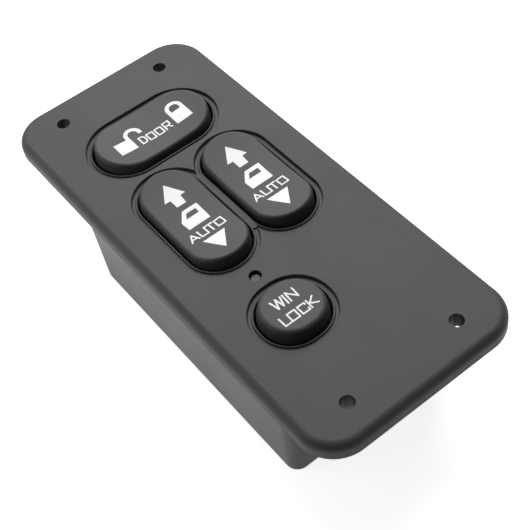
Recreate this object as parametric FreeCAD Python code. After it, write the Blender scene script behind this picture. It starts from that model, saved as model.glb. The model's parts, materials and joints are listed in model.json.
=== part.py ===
import FreeCAD, Part
import math
import os
from FreeCAD import Vector

# Power window switch panel, in millimetres.
# The origin is the centre of the four fixing holes on the plane that the panel's foot sits on.
# +Z points out of the face, +Y towards the door lock rocker, +X to the right of the face.

# Face panel
panel_width = 61.9
panel_length = 145.4
panel_height = 5.0
panel_corner_radius = 10.5
panel_edge_width = 2.4
face_thickness = 2.2
skirt_wall = 2.0

# Fixing holes
fixing_pitch_x = 34.0
fixing_pitch_y = 126.5
fixing_hole_diameter = 3.8
fixing_hole_chamfer = 0.3
fixing_boss_diameter = 8.0
end_rib_thickness = 1.2
end_rib_offset = 8.0
end_rib_foot = 0.5
end_rib_gap = 1.0

# Key pockets: the outer outline of each shallow step in the face, a groove in it and a bead round each key
pocket_depth = 0.9
pocket_ledge = 1.5
pocket_edge_chamfer = 0.3
bead_width = 0.6
bead_drop = 0.45
key_gap = 0.5
collar_wall = 1.2
collar_foot = 0.6
door_pocket_length = 40.8
door_pocket_width = 24.6
door_key_y = 41.9
window_pocket_length = 43.2
window_pocket_width = 22.0
window_key_pitch = 20.9
window_key_y = 6.6
lock_pocket_width = 22.5
lock_pocket_length = 21.9
lock_pocket_corner = 10.5
lock_key_x = -10.1
lock_key_y = -34.7

# Rounded edges, worked off in two slopes: the share of the edge's width that each takes
edge_slope_share = 0.63
edge_blend_share = 0.24

# Key crowns
rocker_rise = 1.25
rocker_crown_radius = 105.0
rocker_edge_width = 0.95
lock_key_rise = 2.9
lock_edge_width = 1.25
key_wall = 1.3
key_draft = 3.5
key_slope = 15.0
key_foot = 0.4

# Rocker pivots
rocker_swing = 6.0
pivot_drop = 1.0
pivot_pin_diameter = 2.0
pivot_running_gap = 0.05
pin_end_chamfer = 0.2
hub_wall = 1.5
hub_width = 11.0
hub_web_inset = 0.5
ear_thickness = 1.6
ear_wall = 1.4
ear_side_gap = 0.3
ear_foot_spread = 0.8
stop_gap = 0.12
stop_rib_thickness = 1.6
stop_rib_width = 8.0
stop_rib_overhang = 0.2

# Levers, sliders and their guides
lever_offset = 3.0
lever_thickness = 2.8
lever_root_width = 3.0
lever_neck_width = 1.7
lever_tip_diameter = 2.2
lever_tip_gap = 0.05
lever_foot_gap = 0.1
slider_length = 9.0
slider_neck_width = 4.4
slider_flange_width = 6.4
slider_flange_height = 1.15
slider_height = 3.15
slider_tip_height = 2.3
slider_top_chamfer = 0.5
slot_side_gap = 0.2
slider_board_gap = 0.05
guide_gap = 0.15
guide_wall = 1.2
guide_lip_reach = 0.85
guide_lip_height = 1.0
guide_end_room = 0.5
contact_strip_thickness = 0.25
contact_strip_length = 7.4
contact_finger_width = 1.3
contact_finger_gap = 0.8
contact_recess_depth = 0.6
contact_end_gap = 0.2
contact_side_gap = 0.15
contact_lift = 0.2
contact_toe_length = 0.5
contact_flat_length = 3.0

# Detents
detent_offset = 3.4
detent_bore_diameter = 2.2
detent_plunger_diameter = 2.1
detent_tube_wall = 0.9
detent_tip_height = 2.85
detent_stroke = 0.4
detent_nose_margin = 0.45
nose_steps = 3
detent_slope = 20.0
detent_cam_half_width = 1.4
detent_limit_gap = 0.1
detent_roof = 0.7
detent_spring_length = 3.0
detent_spring_wire = 0.3
detent_spring_turns = 5
detent_spring_gap = 0.1
swing_room = 0.4
tube_side_gap = 0.3

# Carrier frame and circuit board
carrier_drop = 4.5
carrier_thickness = 1.5
board_drop = 12.6
board_thickness = 1.6
board_wall_gap = 0.5
plate_corner_radius = 2.5
carrier_screw_inset = 5.0
carrier_screw_far_y = 30.0
carrier_screw_near_y = -20.5
carrier_post_diameter = 4.6
carrier_screw_diameter = 2.1
carrier_screw_hole_diameter = 2.7
carrier_screw_bite = 4.7
pilot_hole_spare = 0.5
screw_head_diameter = 4.4
screw_head_height = 1.6

# Window lock push switch
lock_travel = 2.2
lock_post_size = 5.4
lock_post_corner = 0.8
lock_post_foot = 3.5
lock_post_gap = 0.15
lock_sleeve_diameter = 9.4
lock_sleeve_top = 1.0
lock_spring_wire = 0.6
lock_spring_turns = 5
lock_spring_gap = 0.3
switch_body_size = 8.0
switch_end_room = 1.0
switch_wall = 1.0
switch_floor = 0.4
switch_plunger_size = 3.2
switch_plunger_gap = 0.1
switch_flange_size = 5.2
switch_flange_height = 1.2
switch_engagement = 5.0

# Indicator
indicator_x = -10.1
indicator_y = -19.5
indicator_hole_diameter = 3.34
indicator_recess = 1.0
guide_rod_gap = 0.1
guide_rod_diameter = 2.8
guide_flange_diameter = 4.8
guide_flange_height = 1.2
guide_tube_wall = 1.0
guide_tip_chamfer = 0.4
led_width = 2.8
led_length = 3.5
led_height = 1.9
led_window_mouth = 2.2
led_window_floor = 1.4
led_window_depth = 0.5
led_gap = 0.3

# Housing
housing_width = 56.8
housing_depth = 29.0
housing_near_y = -53.6
housing_far_y = 39.4
housing_far_lean = 5.1
housing_wall = 1.8
housing_floor = 1.8
housing_corner_radius = 3.5
housing_foot_chamfer = 0.5
neck_width = 48.0
neck_depth = 18.0
neck_far_y = 57.0
column_diameter = 7.2
column_near_inset_x = 6.0
column_near_inset_y = 6.2
column_far_inset_x = 4.6
column_far_inset_y = 5.2
column_top_drop = 3.0
column_boss_diameter = 5.2
column_seat_drop = 9.0
column_access_diameter = 5.8
housing_screw_diameter = 2.6
housing_screw_hole_diameter = 3.2
housing_screw_bite = 5.0

# Connector
connector_x = 8.0
connector_y = -30.0
connector_length = 27.0
connector_width = 12.0
connector_wall = 1.3
connector_base = 3.8
connector_corner_radius = 0.8
connector_fit_gap = 0.2
terminal_size = 0.8
terminal_pitch_x = 4.0
terminal_pitch_y = 4.2
terminal_columns = 6
terminal_rows = 2
terminal_top = 0.7
terminal_tip_drop = 24.5
terminal_chamfer = 0.25
socket_corner_radius = 0.4
connector_key_width = 3.0
connector_key_height = 0.8
connector_key_setback = 1.0
connector_latch_width = 6.0
connector_latch_height = 3.0
connector_latch_setback = 1.0

# Board parts
relay_x = 12.5
relay_y = 8.0
relay_width = 14.0
relay_length = 17.0
relay_height = 11.5
relay_corner_radius = 0.8
relay_foot_chamfer = 0.4
capacitor_inset = 10.4
capacitor_y = -34.0
capacitor_diameter = 8.0
capacitor_height = 10.0
capacitor_chamfer = 0.5
capacitor_groove_drop = 2.0
capacitor_groove_depth = 0.35
capacitor_groove_width = 1.2
chip_y = 29.0
chip_size = 8.0
chip_height = 1.2
chip_leg_count = 8
chip_leg_pitch = 0.8
chip_leg_width = 0.4
chip_leg_reach = 1.0
chip_leg_thickness = 0.35
chip_standoff = 0.1

# Worked out from the sizes above
face_z = panel_height
pocket_z = face_z - pocket_depth
bead_top_z = face_z - bead_drop
plate_under_z = face_z - face_thickness
pivot_z = -pivot_drop
carrier_top_z = -carrier_drop
carrier_under_z = carrier_top_z - carrier_thickness
board_top_z = -board_drop
board_under_z = board_top_z - board_thickness
housing_foot_z = -housing_depth
housing_floor_z = housing_foot_z + housing_floor
neck_foot_z = -neck_depth
key_inset = pocket_ledge + key_gap
cut_spare = 1.0
tolerance = 1e-4
wire_steps = 10
wire_sides = 4
pin_radius = pivot_pin_diameter / 2
hub_bore_radius = pin_radius + pivot_running_gap
hub_radius = hub_bore_radius + hub_wall
ear_radius = pin_radius + ear_wall
ear_inner = hub_width / 2 + ear_side_gap
ear_outer = ear_inner + ear_thickness
swing = math.radians(rocker_swing)
lever_tip_z = board_top_z + slider_tip_height
lever_length = pivot_z - lever_tip_z
slider_travel = lever_length * swing
plunger_radius = detent_plunger_diameter / 2
plunger_tip_z = board_top_z + detent_tip_height
plunger_centre_z = plunger_tip_z + plunger_radius
detent_tube_radius = detent_bore_diameter / 2 + detent_tube_wall
detent_tube_foot_z = plunger_tip_z + detent_stroke + detent_nose_margin
detent_roof_z = pivot_z - hub_bore_radius - detent_roof
swing_half_room = detent_tube_radius + (pivot_z - detent_tube_foot_z) * math.sin(swing) + swing_room
door_key_length = door_pocket_length - 2 * key_inset
door_key_width = door_pocket_width - 2 * key_inset
window_key_length = window_pocket_length - 2 * key_inset
window_key_width = window_pocket_width - 2 * key_inset
window_key_x = window_key_pitch / 2
lock_key_top_z = face_z + lock_key_rise
lock_key_under_z = lock_key_top_z - key_wall
switch_body_height = (
    switch_floor + switch_end_room + lock_travel + switch_flange_height + switch_plunger_gap + switch_wall)
carrier_screw_x = housing_width / 2 - carrier_screw_inset
capacitor_x = capacitor_inset - housing_width / 2
carrier_screw_spots = [
    (side * carrier_screw_x, y)
    for side in (-1, 1)
    for y in (carrier_screw_near_y, carrier_screw_far_y)
]
column_spots = [
    (side * x, y)
    for side in (-1, 1)
    for x, y in (
        (housing_width / 2 - column_near_inset_x, housing_near_y + column_near_inset_y),
        (neck_width / 2 - column_far_inset_x, neck_far_y - column_far_inset_y))
]
fixing_spots = [
    (sx * fixing_pitch_x / 2, sy * fixing_pitch_y / 2) for sx in (-1, 1) for sy in (-1, 1)
]


def rounded_outline(width, length, radius, at=(0.0, 0.0), z=0.0):
    """Closed wire of a rectangle with round corners; a radius of half a side makes a round end."""
    radius = min(radius, width / 2, length / 2)
    half_x = width / 2 - radius
    half_y = length / 2 - radius
    centre = Vector(at[0], at[1], z)
    corners = [(half_x, half_y, 0), (-half_x, half_y, 90), (-half_x, -half_y, 180), (half_x, -half_y, 270)]
    edges = []
    last_end = None
    for x, y, start in corners:
        middle = centre + Vector(x, y, 0)
        angles = [math.radians(start + turn) for turn in (0, 45, 90)]
        points = [middle + Vector(math.cos(angle), math.sin(angle), 0) * radius for angle in angles]
        if last_end is not None and (points[0] - last_end).Length > tolerance:
            edges.append(Part.LineSegment(last_end, points[0]).toShape())
        edges.append(Part.Arc(*points).toShape())
        last_end = points[2]
    first_point = edges[0].Vertexes[0].Point
    if (first_point - last_end).Length > tolerance:
        edges.append(Part.LineSegment(last_end, first_point).toShape())
    return Part.Wire(edges)


def slab(width, length, radius, low_z, high_z, at=(0.0, 0.0)):
    """Prism of a rounded rectangle between two heights."""
    face = Part.Face(rounded_outline(width, length, radius, at, low_z))
    return face.extrude(Vector(0, 0, high_z - low_z))


def drafted(width, length, radius, low_z, high_z, at=(0.0, 0.0), angle=key_draft):
    """Prism of a rounded rectangle whose walls lean inwards, by the keys' draft unless an angle is given."""
    lean = 2 * (high_z - low_z) * math.tan(math.radians(angle))
    radius = min(radius, width / 2, length / 2)
    foot = rounded_outline(width, length, radius, at, low_z)
    head = rounded_outline(width - lean, length - lean, radius - lean / 2, at, high_z)
    return Part.makeLoft([foot, head], True, True)


def key_form(width, length, radius, high_z, at=(0.0, 0.0)):
    """Outside of a key: drafted up to the level of the face and sloped more strongly above it."""
    lean = 2 * (face_z - key_foot) * math.tan(math.radians(key_draft))
    radius = min(radius, width / 2, length / 2)
    skirt = drafted(width, length, radius, key_foot, face_z, at)
    head = drafted(width - lean, length - lean, radius - lean / 2, face_z, high_z, at, key_slope)
    return join([skirt, head])


def block(x, y, z):
    """Box from three (low, high) pairs."""
    corner = Vector(x[0], y[0], z[0])
    return Part.makeBox(x[1] - x[0], y[1] - y[0], z[1] - z[0], corner)


def square(size, low_z, high_z, at):
    half = size / 2
    return block((at[0] - half, at[0] + half), (at[1] - half, at[1] + half), (low_z, high_z))


def rod(diameter, low_z, high_z, at=(0.0, 0.0)):
    return Part.makeCylinder(diameter / 2, high_z - low_z, Vector(at[0], at[1], low_z))


def rod_along_y(radius, low_y, high_y, x, z):
    return Part.makeCylinder(radius, high_y - low_y, Vector(x, low_y, z), Vector(0, 1, 0))


def prism_along_y(points, low_y, high_y):
    """Polygon of (x, z) points carried from one y to another."""
    corners = [Vector(x, low_y, z) for x, z in points]
    face = Part.Face(Part.makePolygon(corners + corners[:1]))
    return face.extrude(Vector(0, high_y - low_y, 0))


def turned(profile, at):
    """Solid turned about an upright axis from a closed outline of (radius, z) points."""
    corners = [Vector(at[0] + radius, at[1], z) for radius, z in profile]
    face = Part.Face(Part.makePolygon(corners + corners[:1]))
    return face.revolve(Vector(at[0], at[1], 0), Vector(0, 0, 1), 360)


def coil(mean_diameter, wire, low_z, high_z, turns, at=(0.0, 0.0)):
    """Flat-sided wire wound in short straight steps between two heights."""
    pitch = (high_z - low_z - wire) / turns
    points = []
    for step in range(wire_steps * turns + 1):
        angle = 2 * math.pi * step / wire_steps
        place = Vector(math.cos(angle), math.sin(angle), 0) * (mean_diameter / 2)
        points.append(place + Vector(at[0], at[1], low_z + wire / 2 + pitch * step / wire_steps))
    along = (points[1] - points[0]).normalize()
    across = (Vector(1, 0, 0) - along * along.x).normalize()
    up = along.cross(across)
    rim = []
    for side in range(wire_sides + 1):
        angle = 2 * math.pi * side / wire_sides
        rim.append(points[0] + (across * math.cos(angle) + up * math.sin(angle)) * (wire / 2))
    return Part.makePolygon(points).makePipeShell([Part.makePolygon(rim)], True, False, 1)


def join(shapes):
    whole = shapes[0].multiFuse(shapes[1:])
    return whole.removeSplitter()


def edges_of_top_face(shape):
    """Edges round the face that lies highest."""
    top = max(shape.Faces, key=lambda face: face.CenterOfMass.z)
    return top.Edges


def edges_at(shape, z):
    """Edges that lie level at one height."""
    level = [e for e in shape.Edges if e.BoundBox.ZLength < tolerance]
    return [e for e in level if abs(e.BoundBox.ZMin - z) < tolerance]


def pocket_edges(body, pockets):
    """Edges round the mouths of the pockets in the face."""
    box = pockets.BoundBox
    box.enlarge(key_gap)
    return [e for e in edges_at(body, face_z) if box.isInside(e.BoundBox)]


def eased(cap, edge_width):
    """Crown edge worked off in two slopes, the steep one first, in place of a full rounding."""
    cap = cap.makeChamfer(edge_width * edge_slope_share, edges_of_top_face(cap))
    return cap.makeChamfer(edge_width * edge_blend_share, edges_of_top_face(cap))


# Every rocker is drawn with its long side along X and its pivot along Y, at the origin of the face,
# and is then put in its place: the window rockers are turned a quarter turn.

def place_door(shape):
    moved = shape.copy()
    moved.translate(Vector(0, door_key_y, 0))
    return moved


def place_window(shape, side):
    moved = shape.copy()
    moved.rotate(Vector(0, 0, 0), Vector(0, 0, 1), 90)
    moved.translate(Vector(side * window_key_x, window_key_y, 0))
    return moved


def left_window(shape):
    return place_window(shape, -1)


def right_window(shape):
    return place_window(shape, 1)


rocker_places = [
    ("door", place_door, door_key_length, door_key_width),
    ("left_window", left_window, window_key_length, window_key_width),
    ("right_window", right_window, window_key_length, window_key_width),
]


def key_openings(grow, low_z, high_z):
    """The four through openings of the face, as prisms grown outwards by an amount."""
    inset = pocket_ledge - grow
    door = slab(
        door_pocket_length - 2 * inset, door_pocket_width - 2 * inset, door_pocket_width,
        low_z, high_z, (0, door_key_y))
    windows = [
        slab(
            window_pocket_width - 2 * inset, window_pocket_length - 2 * inset, window_pocket_width,
            low_z, high_z, (side * window_key_x, window_key_y))
        for side in (-1, 1)
    ]
    lock = slab(
        lock_pocket_width - 2 * inset, lock_pocket_length - 2 * inset, lock_pocket_corner - inset,
        low_z, high_z, (lock_key_x, lock_key_y))
    return [door] + windows + [lock]


def pocket_groove():
    """Groove between each pocket's wall and its bead; the strip between the window keys stays whole."""
    ring = join(key_openings(pocket_ledge, pocket_z, bead_top_z))
    straight = (window_pocket_length - window_pocket_width) / 2
    strip = block(
        (-window_key_x, window_key_x), (window_key_y - straight, window_key_y + straight),
        (pocket_z, bead_top_z))
    return ring.cut(join(key_openings(bead_width, pocket_z, bead_top_z) + [strip]))


def face_bezel():
    """Moulded face panel: stepped key pockets, collars, fixing holes and bosses underneath."""
    body = slab(panel_width, panel_length, panel_corner_radius, 0, face_z)
    body = eased(body, panel_edge_width)
    hollow = slab(
        panel_width - 2 * skirt_wall, panel_length - 2 * skirt_wall, panel_corner_radius - skirt_wall,
        0, plate_under_z)
    body = body.cut(hollow)
    collars = join(key_openings(collar_wall, collar_foot, plate_under_z))
    bosses = [rod(fixing_boss_diameter, 0, plate_under_z, spot) for spot in fixing_spots]
    bosses += [rod(carrier_post_diameter, carrier_top_z, plate_under_z, spot) for spot in carrier_screw_spots]
    bosses += [rod(column_boss_diameter, -column_top_drop, plate_under_z, spot) for spot in column_spots]
    body = join([body, collars] + bosses + end_ribs())
    pockets = join(key_openings(pocket_ledge, bead_top_z, face_z))
    body = body.cut(pockets)
    body = body.makeChamfer(pocket_edge_chamfer, pocket_edges(body, pockets))
    body = body.cut(pocket_groove())
    body = body.cut(Part.makeCompound(key_openings(0, collar_foot, face_z)))
    cuts = [rod(fixing_hole_diameter, 0, face_z, spot) for spot in fixing_spots]
    cuts += [hole_chamfer(fixing_hole_diameter, fixing_hole_chamfer, spot) for spot in fixing_spots]
    cuts.append(rod(indicator_hole_diameter, plate_under_z, face_z, (indicator_x, indicator_y)))
    cuts += [
        rod(
            carrier_screw_diameter, carrier_top_z,
            carrier_top_z + carrier_screw_bite + pilot_hole_spare, spot)
        for spot in carrier_screw_spots
    ]
    cuts += [
        rod(
            housing_screw_diameter, -column_top_drop,
            housing_screw_bite - column_top_drop + pilot_hole_spare, spot)
        for spot in column_spots
    ]
    return body.cut(Part.makeCompound(cuts))


def end_ribs():
    """Stiffening ribs under the two ends of the panel, from the skirt to near the housing."""
    far = panel_length / 2 - skirt_wall / 2
    ribs = []
    for x in (-end_rib_offset, end_rib_offset):
        span = (x - end_rib_thickness / 2, x + end_rib_thickness / 2)
        ribs.append(block(span, (neck_far_y + end_rib_gap, far), (end_rib_foot, plate_under_z)))
        ribs.append(block(span, (-far, housing_near_y - end_rib_gap), (end_rib_foot, plate_under_z)))
    return ribs


def hole_chamfer(diameter, size, spot):
    low = Vector(spot[0], spot[1], face_z - size)
    return Part.makeCone(diameter / 2, diameter / 2 + size, size, low)


def rocker_key(length, width):
    """Hollow rocker key with a dished crown, a hub for its pin, a lever and a detent tube."""
    crown_z = face_z + rocker_rise
    tall = crown_z + length * length / (8 * rocker_crown_radius) + cut_spare
    crown = rod_along_y(rocker_crown_radius, -width, width, 0, crown_z + rocker_crown_radius)
    cap = key_form(length, width, width, tall).cut(crown)
    cap = eased(cap, rocker_edge_width)
    inner_crown = rod_along_y(rocker_crown_radius + key_wall, -width, width, 0, crown_z + rocker_crown_radius)
    hollow = drafted(length - 2 * key_wall, width - 2 * key_wall, width, key_foot, tall).cut(inner_crown)
    cap = cap.cut(hollow)
    hub = rod_along_y(hub_radius, -hub_width / 2, hub_width / 2, 0, pivot_z)
    web_half = hub_radius - hub_web_inset
    web = block((-web_half, web_half), (-hub_width / 2, hub_width / 2), (pivot_z, crown_z - key_wall / 2))
    key = join([cap, hub, web, lever(), detent_tube()])
    bore = rod_along_y(hub_bore_radius, -hub_width, hub_width, 0, pivot_z)
    detent_bore = rod(detent_bore_diameter, detent_tube_foot_z, detent_roof_z, (0, detent_offset))
    return key.cut(Part.makeCompound([bore, detent_bore]))


def lever():
    """Tapered lever under the hub with a round tip that drives the slider."""
    low_y = -lever_offset - lever_thickness / 2
    high_y = low_y + lever_thickness
    root = lever_root_width / 2
    neck = lever_neck_width / 2
    neck_z = lever_tip_z + lever_tip_diameter
    outline = [(-root, pivot_z), (-root, pivot_z - hub_radius), (-neck, neck_z), (-neck, lever_tip_z)]
    outline += [(-x, z) for x, z in reversed(outline)]
    blade = prism_along_y(outline, low_y, high_y)
    tip = rod_along_y(lever_tip_diameter / 2, low_y, high_y, 0, lever_tip_z)
    return blade.fuse(tip)


def detent_tube():
    return rod(2 * detent_tube_radius, detent_tube_foot_z, pivot_z, (0, detent_offset))


def pivot_pin():
    pin = rod_along_y(pin_radius, -ear_outer, ear_outer, 0, pivot_z)
    rims = [e for e in pin.Edges if e.BoundBox.YLength < pin_radius]
    return pin.makeChamfer(pin_end_chamfer, rims)


def contact_slider():
    """Sliding block with side flanges, a slot for the lever's tip and a recess for its contact."""
    foot = board_top_z + slider_board_gap
    half = slider_length / 2
    middle = -lever_offset
    neck = block(
        (-half, half), (middle - slider_neck_width / 2, middle + slider_neck_width / 2),
        (foot, foot + slider_height))
    top_ends = [e for e in edges_at(neck, foot + slider_height) if e.BoundBox.YLength > slider_top_chamfer]
    neck = neck.makeChamfer(slider_top_chamfer, top_ends)
    flange = block(
        (-half, half), (middle - slider_flange_width / 2, middle + slider_flange_width / 2),
        (foot, foot + slider_flange_height))
    slot_half = lever_tip_diameter / 2 + lever_tip_gap
    slot_width = lever_thickness / 2 + slot_side_gap
    slot = block(
        (-slot_half, slot_half), (middle - slot_width, middle + slot_width),
        (lever_tip_z - lever_tip_diameter / 2 - lever_foot_gap, foot + slider_height))
    recess_half = contact_strip_length / 2 + contact_end_gap
    recess_width = contact_finger_width + contact_finger_gap / 2 + contact_side_gap
    recess = block(
        (-recess_half, recess_half), (middle - recess_width, middle + recess_width),
        (foot, foot + contact_recess_depth))
    return join([neck, flange]).cut(Part.makeCompound([slot, recess]))


def contact_spring():
    """Bridging contact: two bowed fingers joined by a middle strip, bearing on the board."""
    foot = board_top_z + slider_board_gap
    roof = foot + contact_recess_depth
    half = contact_strip_length / 2
    flat = contact_flat_length / 2
    toe = half - contact_toe_length
    under = [(-half, foot + contact_lift), (-toe, foot), (-flat, roof - contact_strip_thickness)]
    under += [(-x, z) for x, z in reversed(under)]
    outline = under + [(x, z + contact_strip_thickness) for x, z in reversed(under)]
    starts = (
        -lever_offset - contact_finger_gap / 2 - contact_finger_width,
        -lever_offset + contact_finger_gap / 2,
    )
    fingers = [prism_along_y(outline, low_y, low_y + contact_finger_width) for low_y in starts]
    bridge = block((-flat, flat), (starts[0], starts[1]), (roof - contact_strip_thickness, roof))
    return join(fingers + [bridge])


def detent_plunger():
    """Plunger with a round nose that rests over the notch of the carrier."""
    profile = [(0, plunger_tip_z)]
    for step in range(1, nose_steps + 1):
        angle = math.radians(90 * step / nose_steps)
        across = plunger_radius * math.sin(angle)
        profile.append((across, plunger_centre_z - plunger_radius * math.cos(angle)))
    top = detent_roof_z - detent_spring_length
    return turned(profile + [(plunger_radius, top), (0, top)], (0, detent_offset))


def detent_spring():
    mean = detent_bore_diameter - 2 * detent_spring_gap - detent_spring_wire
    low = detent_roof_z - detent_spring_length
    return coil(mean, detent_spring_wire, low, detent_roof_z, detent_spring_turns, (0, detent_offset))


def cam_apex_z():
    """Height of the notch's lowest line: the nose clears its flank by a set gap at full swing."""
    reach = pivot_z - plunger_centre_z
    slope = math.tan(math.radians(detent_slope))
    side = reach * math.sin(swing)
    height = pivot_z - reach * math.cos(swing)
    return height - (plunger_radius + detent_limit_gap) / math.cos(math.radians(detent_slope)) - slope * side


def guide_half_length():
    return slider_length / 2 + slider_travel + guide_end_room


def slider_guide():
    """Walls under the carrier that hold the slider down on the board, and the detent's notch block."""
    half = guide_half_length()
    rail_face = -lever_offset - slider_flange_width / 2 - guide_gap
    block_face = -lever_offset + slider_flange_width / 2 + guide_gap
    lip_low = board_top_z + slider_board_gap + slider_flange_height + guide_gap
    lip = (lip_low, lip_low + guide_lip_height)
    pocket_half = detent_tube_radius + tube_side_gap
    pocket_y = (detent_offset - pocket_half, detent_offset + pocket_half)
    rail = block((-half, half), (rail_face - guide_wall, rail_face), (board_top_z, carrier_under_z))
    rail_lip = block((-half, half), (rail_face, rail_face + guide_lip_reach), lip)
    body = block((-half, half), (block_face, pocket_y[1] + guide_wall), (board_top_z, carrier_under_z))
    body_lip = block((-half, half), (block_face - guide_lip_reach, block_face), lip)
    apex = cam_apex_z()
    slope = math.tan(math.radians(detent_slope))
    floor = apex + slope * detent_cam_half_width
    pocket = block((-swing_half_room, swing_half_room), pocket_y, (floor, carrier_under_z))
    notch = prism_along_y(
        [(-detent_cam_half_width, floor), (0, apex), (detent_cam_half_width, floor)], *pocket_y)
    body = body.cut(pocket).cut(notch)
    return [rail, rail_lip, body, body_lip]


def pivot_ears():
    """Two ears on top of the carrier that hold the pin."""
    ears = []
    for low in (-ear_outer, ear_inner):
        high = low + ear_thickness
        ears.append(rod_along_y(ear_radius, low, high, 0, pivot_z))
        foot_half = ear_radius + ear_foot_spread
        side = [(-foot_half, carrier_top_z), (-ear_radius, pivot_z)]
        ears.append(prism_along_y(side + [(-x, z) for x, z in reversed(side)], low, high))
    return ears


def stop_ribs(length):
    """Ribs that stop the rocker's skirt at the end of its swing."""
    reach = length / 2 + stop_rib_overhang
    skirt = key_foot - pivot_z
    top = pivot_z + skirt * math.cos(swing) - reach * math.sin(swing) - stop_gap
    half = stop_rib_width / 2
    return [
        block((low, low + stop_rib_thickness), (-half, half), (carrier_top_z, top))
        for low in (-reach, reach - stop_rib_thickness)
    ]


def rocker_station(length):
    """What the carrier has for one rocker, and the cut through its plate."""
    added = pivot_ears() + slider_guide() + stop_ribs(length)
    low_y = -lever_offset - lever_thickness / 2 - swing_room
    high_y = detent_offset + detent_tube_radius + tube_side_gap
    slot = block((-swing_half_room, swing_half_room), (low_y, high_y), (carrier_under_z, carrier_top_z))
    holes = rod_along_y(pin_radius, -ear_outer, ear_outer, 0, pivot_z)
    return added, [slot, holes]


def far_wall_y(z):
    """Outside of the housing's leaning far wall at a height."""
    return housing_far_y + z * math.tan(math.radians(housing_far_lean))


def inner_plate(low_z, high_z):
    """Plate that follows the inside of the housing, notched round its screw columns."""
    margin = housing_wall + board_wall_gap
    far = far_wall_y(low_z) - margin
    near = housing_near_y + margin
    main = slab(
        housing_width - 2 * margin, far - near, plate_corner_radius, low_z, high_z,
        (0, (far + near) / 2))
    neck_far = neck_far_y - margin
    neck = slab(
        neck_width - 2 * margin, neck_far, plate_corner_radius, low_z, high_z, (0, neck_far / 2))
    return join([main, neck]).cut(Part.makeCompound(column_notches(low_z, high_z)))


def column_notches(low_z, high_z):
    """Room round each screw column, open towards the housing's corner."""
    notches = []
    for x, y in column_spots:
        notches.append(rod(column_diameter + 2 * board_wall_gap, low_z, high_z, (x, y)))
        corner_x = math.copysign(housing_width, x)
        corner_y = math.copysign(housing_width, y) + y
        notches.append(block(sorted((x, corner_x)), sorted((y, corner_y)), (low_z, high_z)))
    return notches


def switch_carrier():
    """Moulded frame under the face that carries the pivots, guides, notches and the lock key's sleeve."""
    added = [inner_plate(carrier_under_z, carrier_top_z)]
    cuts = []
    for _name, place, length, _width in rocker_places:
        solids, holes = rocker_station(length)
        added += [place(solid) for solid in solids]
        cuts += [place(hole) for hole in holes]
    lock_spot = (lock_key_x, lock_key_y)
    added.append(rod(lock_sleeve_diameter, carrier_top_z, lock_sleeve_top, lock_spot))
    sleeve = lock_post_size + 2 * lock_post_gap
    corner = lock_post_corner + lock_post_gap
    cuts.append(slab(sleeve, sleeve, corner, carrier_under_z, lock_sleeve_top, lock_spot))
    guide_spot = (indicator_x, indicator_y)
    tube_inner = guide_rod_diameter + 2 * guide_rod_gap
    tube_top = plate_under_z - guide_flange_height
    added.append(rod(tube_inner + 2 * guide_tube_wall, carrier_top_z, tube_top, guide_spot))
    cuts.append(rod(tube_inner, carrier_under_z, tube_top, guide_spot))
    for spot in carrier_screw_spots:
        added.append(rod(carrier_post_diameter, board_top_z, carrier_under_z, spot))
        cuts.append(rod(carrier_screw_hole_diameter, board_top_z, carrier_top_z, spot))
    return join(added).cut(Part.makeCompound(cuts))


def window_lock_button():
    """Hollow push key with a square post that runs in the carrier's sleeve."""
    spot = (lock_key_x, lock_key_y)
    width = lock_pocket_width - 2 * key_inset
    length = lock_pocket_length - 2 * key_inset
    corner = lock_pocket_corner - key_inset
    cap = key_form(width, length, corner, lock_key_top_z, spot)
    cap = eased(cap, lock_edge_width)
    hollow = drafted(
        width - 2 * key_wall, length - 2 * key_wall, corner - key_wall, key_foot, lock_key_under_z, spot)
    post = slab(lock_post_size, lock_post_size, lock_post_corner, -lock_post_foot, lock_key_under_z, spot)
    socket = square(switch_plunger_size, -lock_post_foot, switch_engagement - lock_post_foot, spot)
    return join([cap.cut(hollow), post]).cut(socket)


def lock_switch_body():
    """Push switch on the board: a square case with a hole for its plunger."""
    spot = (lock_key_x, lock_key_y)
    top = board_top_z + switch_body_height
    case = square(switch_body_size, board_top_z, top, spot)
    hollow = square(switch_body_size - 2 * switch_wall, board_top_z + switch_floor, top - switch_wall, spot)
    mouth = square(switch_plunger_size + 2 * switch_plunger_gap, top - switch_wall, top, spot)
    return case.cut(hollow).cut(mouth)


def lock_switch_plunger():
    spot = (lock_key_x, lock_key_y)
    flange_top = board_top_z + switch_body_height - switch_wall - switch_plunger_gap
    stem = square(switch_plunger_size, flange_top, switch_engagement - lock_post_foot, spot)
    flange = square(switch_flange_size, flange_top - switch_flange_height, flange_top, spot)
    return join([stem, flange])


def lock_return_spring():
    mean = lock_sleeve_diameter + 2 * lock_spring_gap + lock_spring_wire
    return coil(
        mean, lock_spring_wire, carrier_top_z, lock_key_under_z, lock_spring_turns, (lock_key_x, lock_key_y))


def indicator_light_guide():
    """Clear plug in the indicator hole with a flange under the face and a rod down to the lamp."""
    spot = (indicator_x, indicator_y)
    plug = rod(indicator_hole_diameter - 2 * guide_rod_gap, plate_under_z, face_z - indicator_recess, spot)
    plug = plug.makeChamfer(guide_tip_chamfer, edges_at(plug, face_z - indicator_recess))
    flange = rod(guide_flange_diameter, plate_under_z - guide_flange_height, plate_under_z, spot)
    stem = rod(guide_rod_diameter, board_top_z + led_height + led_gap, plate_under_z, spot)
    return join([plug, flange, stem])


def indicator_led():
    """Small lamp on the board with a lens window."""
    top = board_top_z + led_height
    base = block(
        (indicator_x - led_width / 2, indicator_x + led_width / 2),
        (indicator_y - led_length / 2, indicator_y + led_length / 2), (board_top_z, top))
    window = Part.makeCone(
        led_window_floor / 2, led_window_mouth / 2, led_window_depth,
        Vector(indicator_x, indicator_y, top - led_window_depth))
    return base.cut(window)


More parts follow.
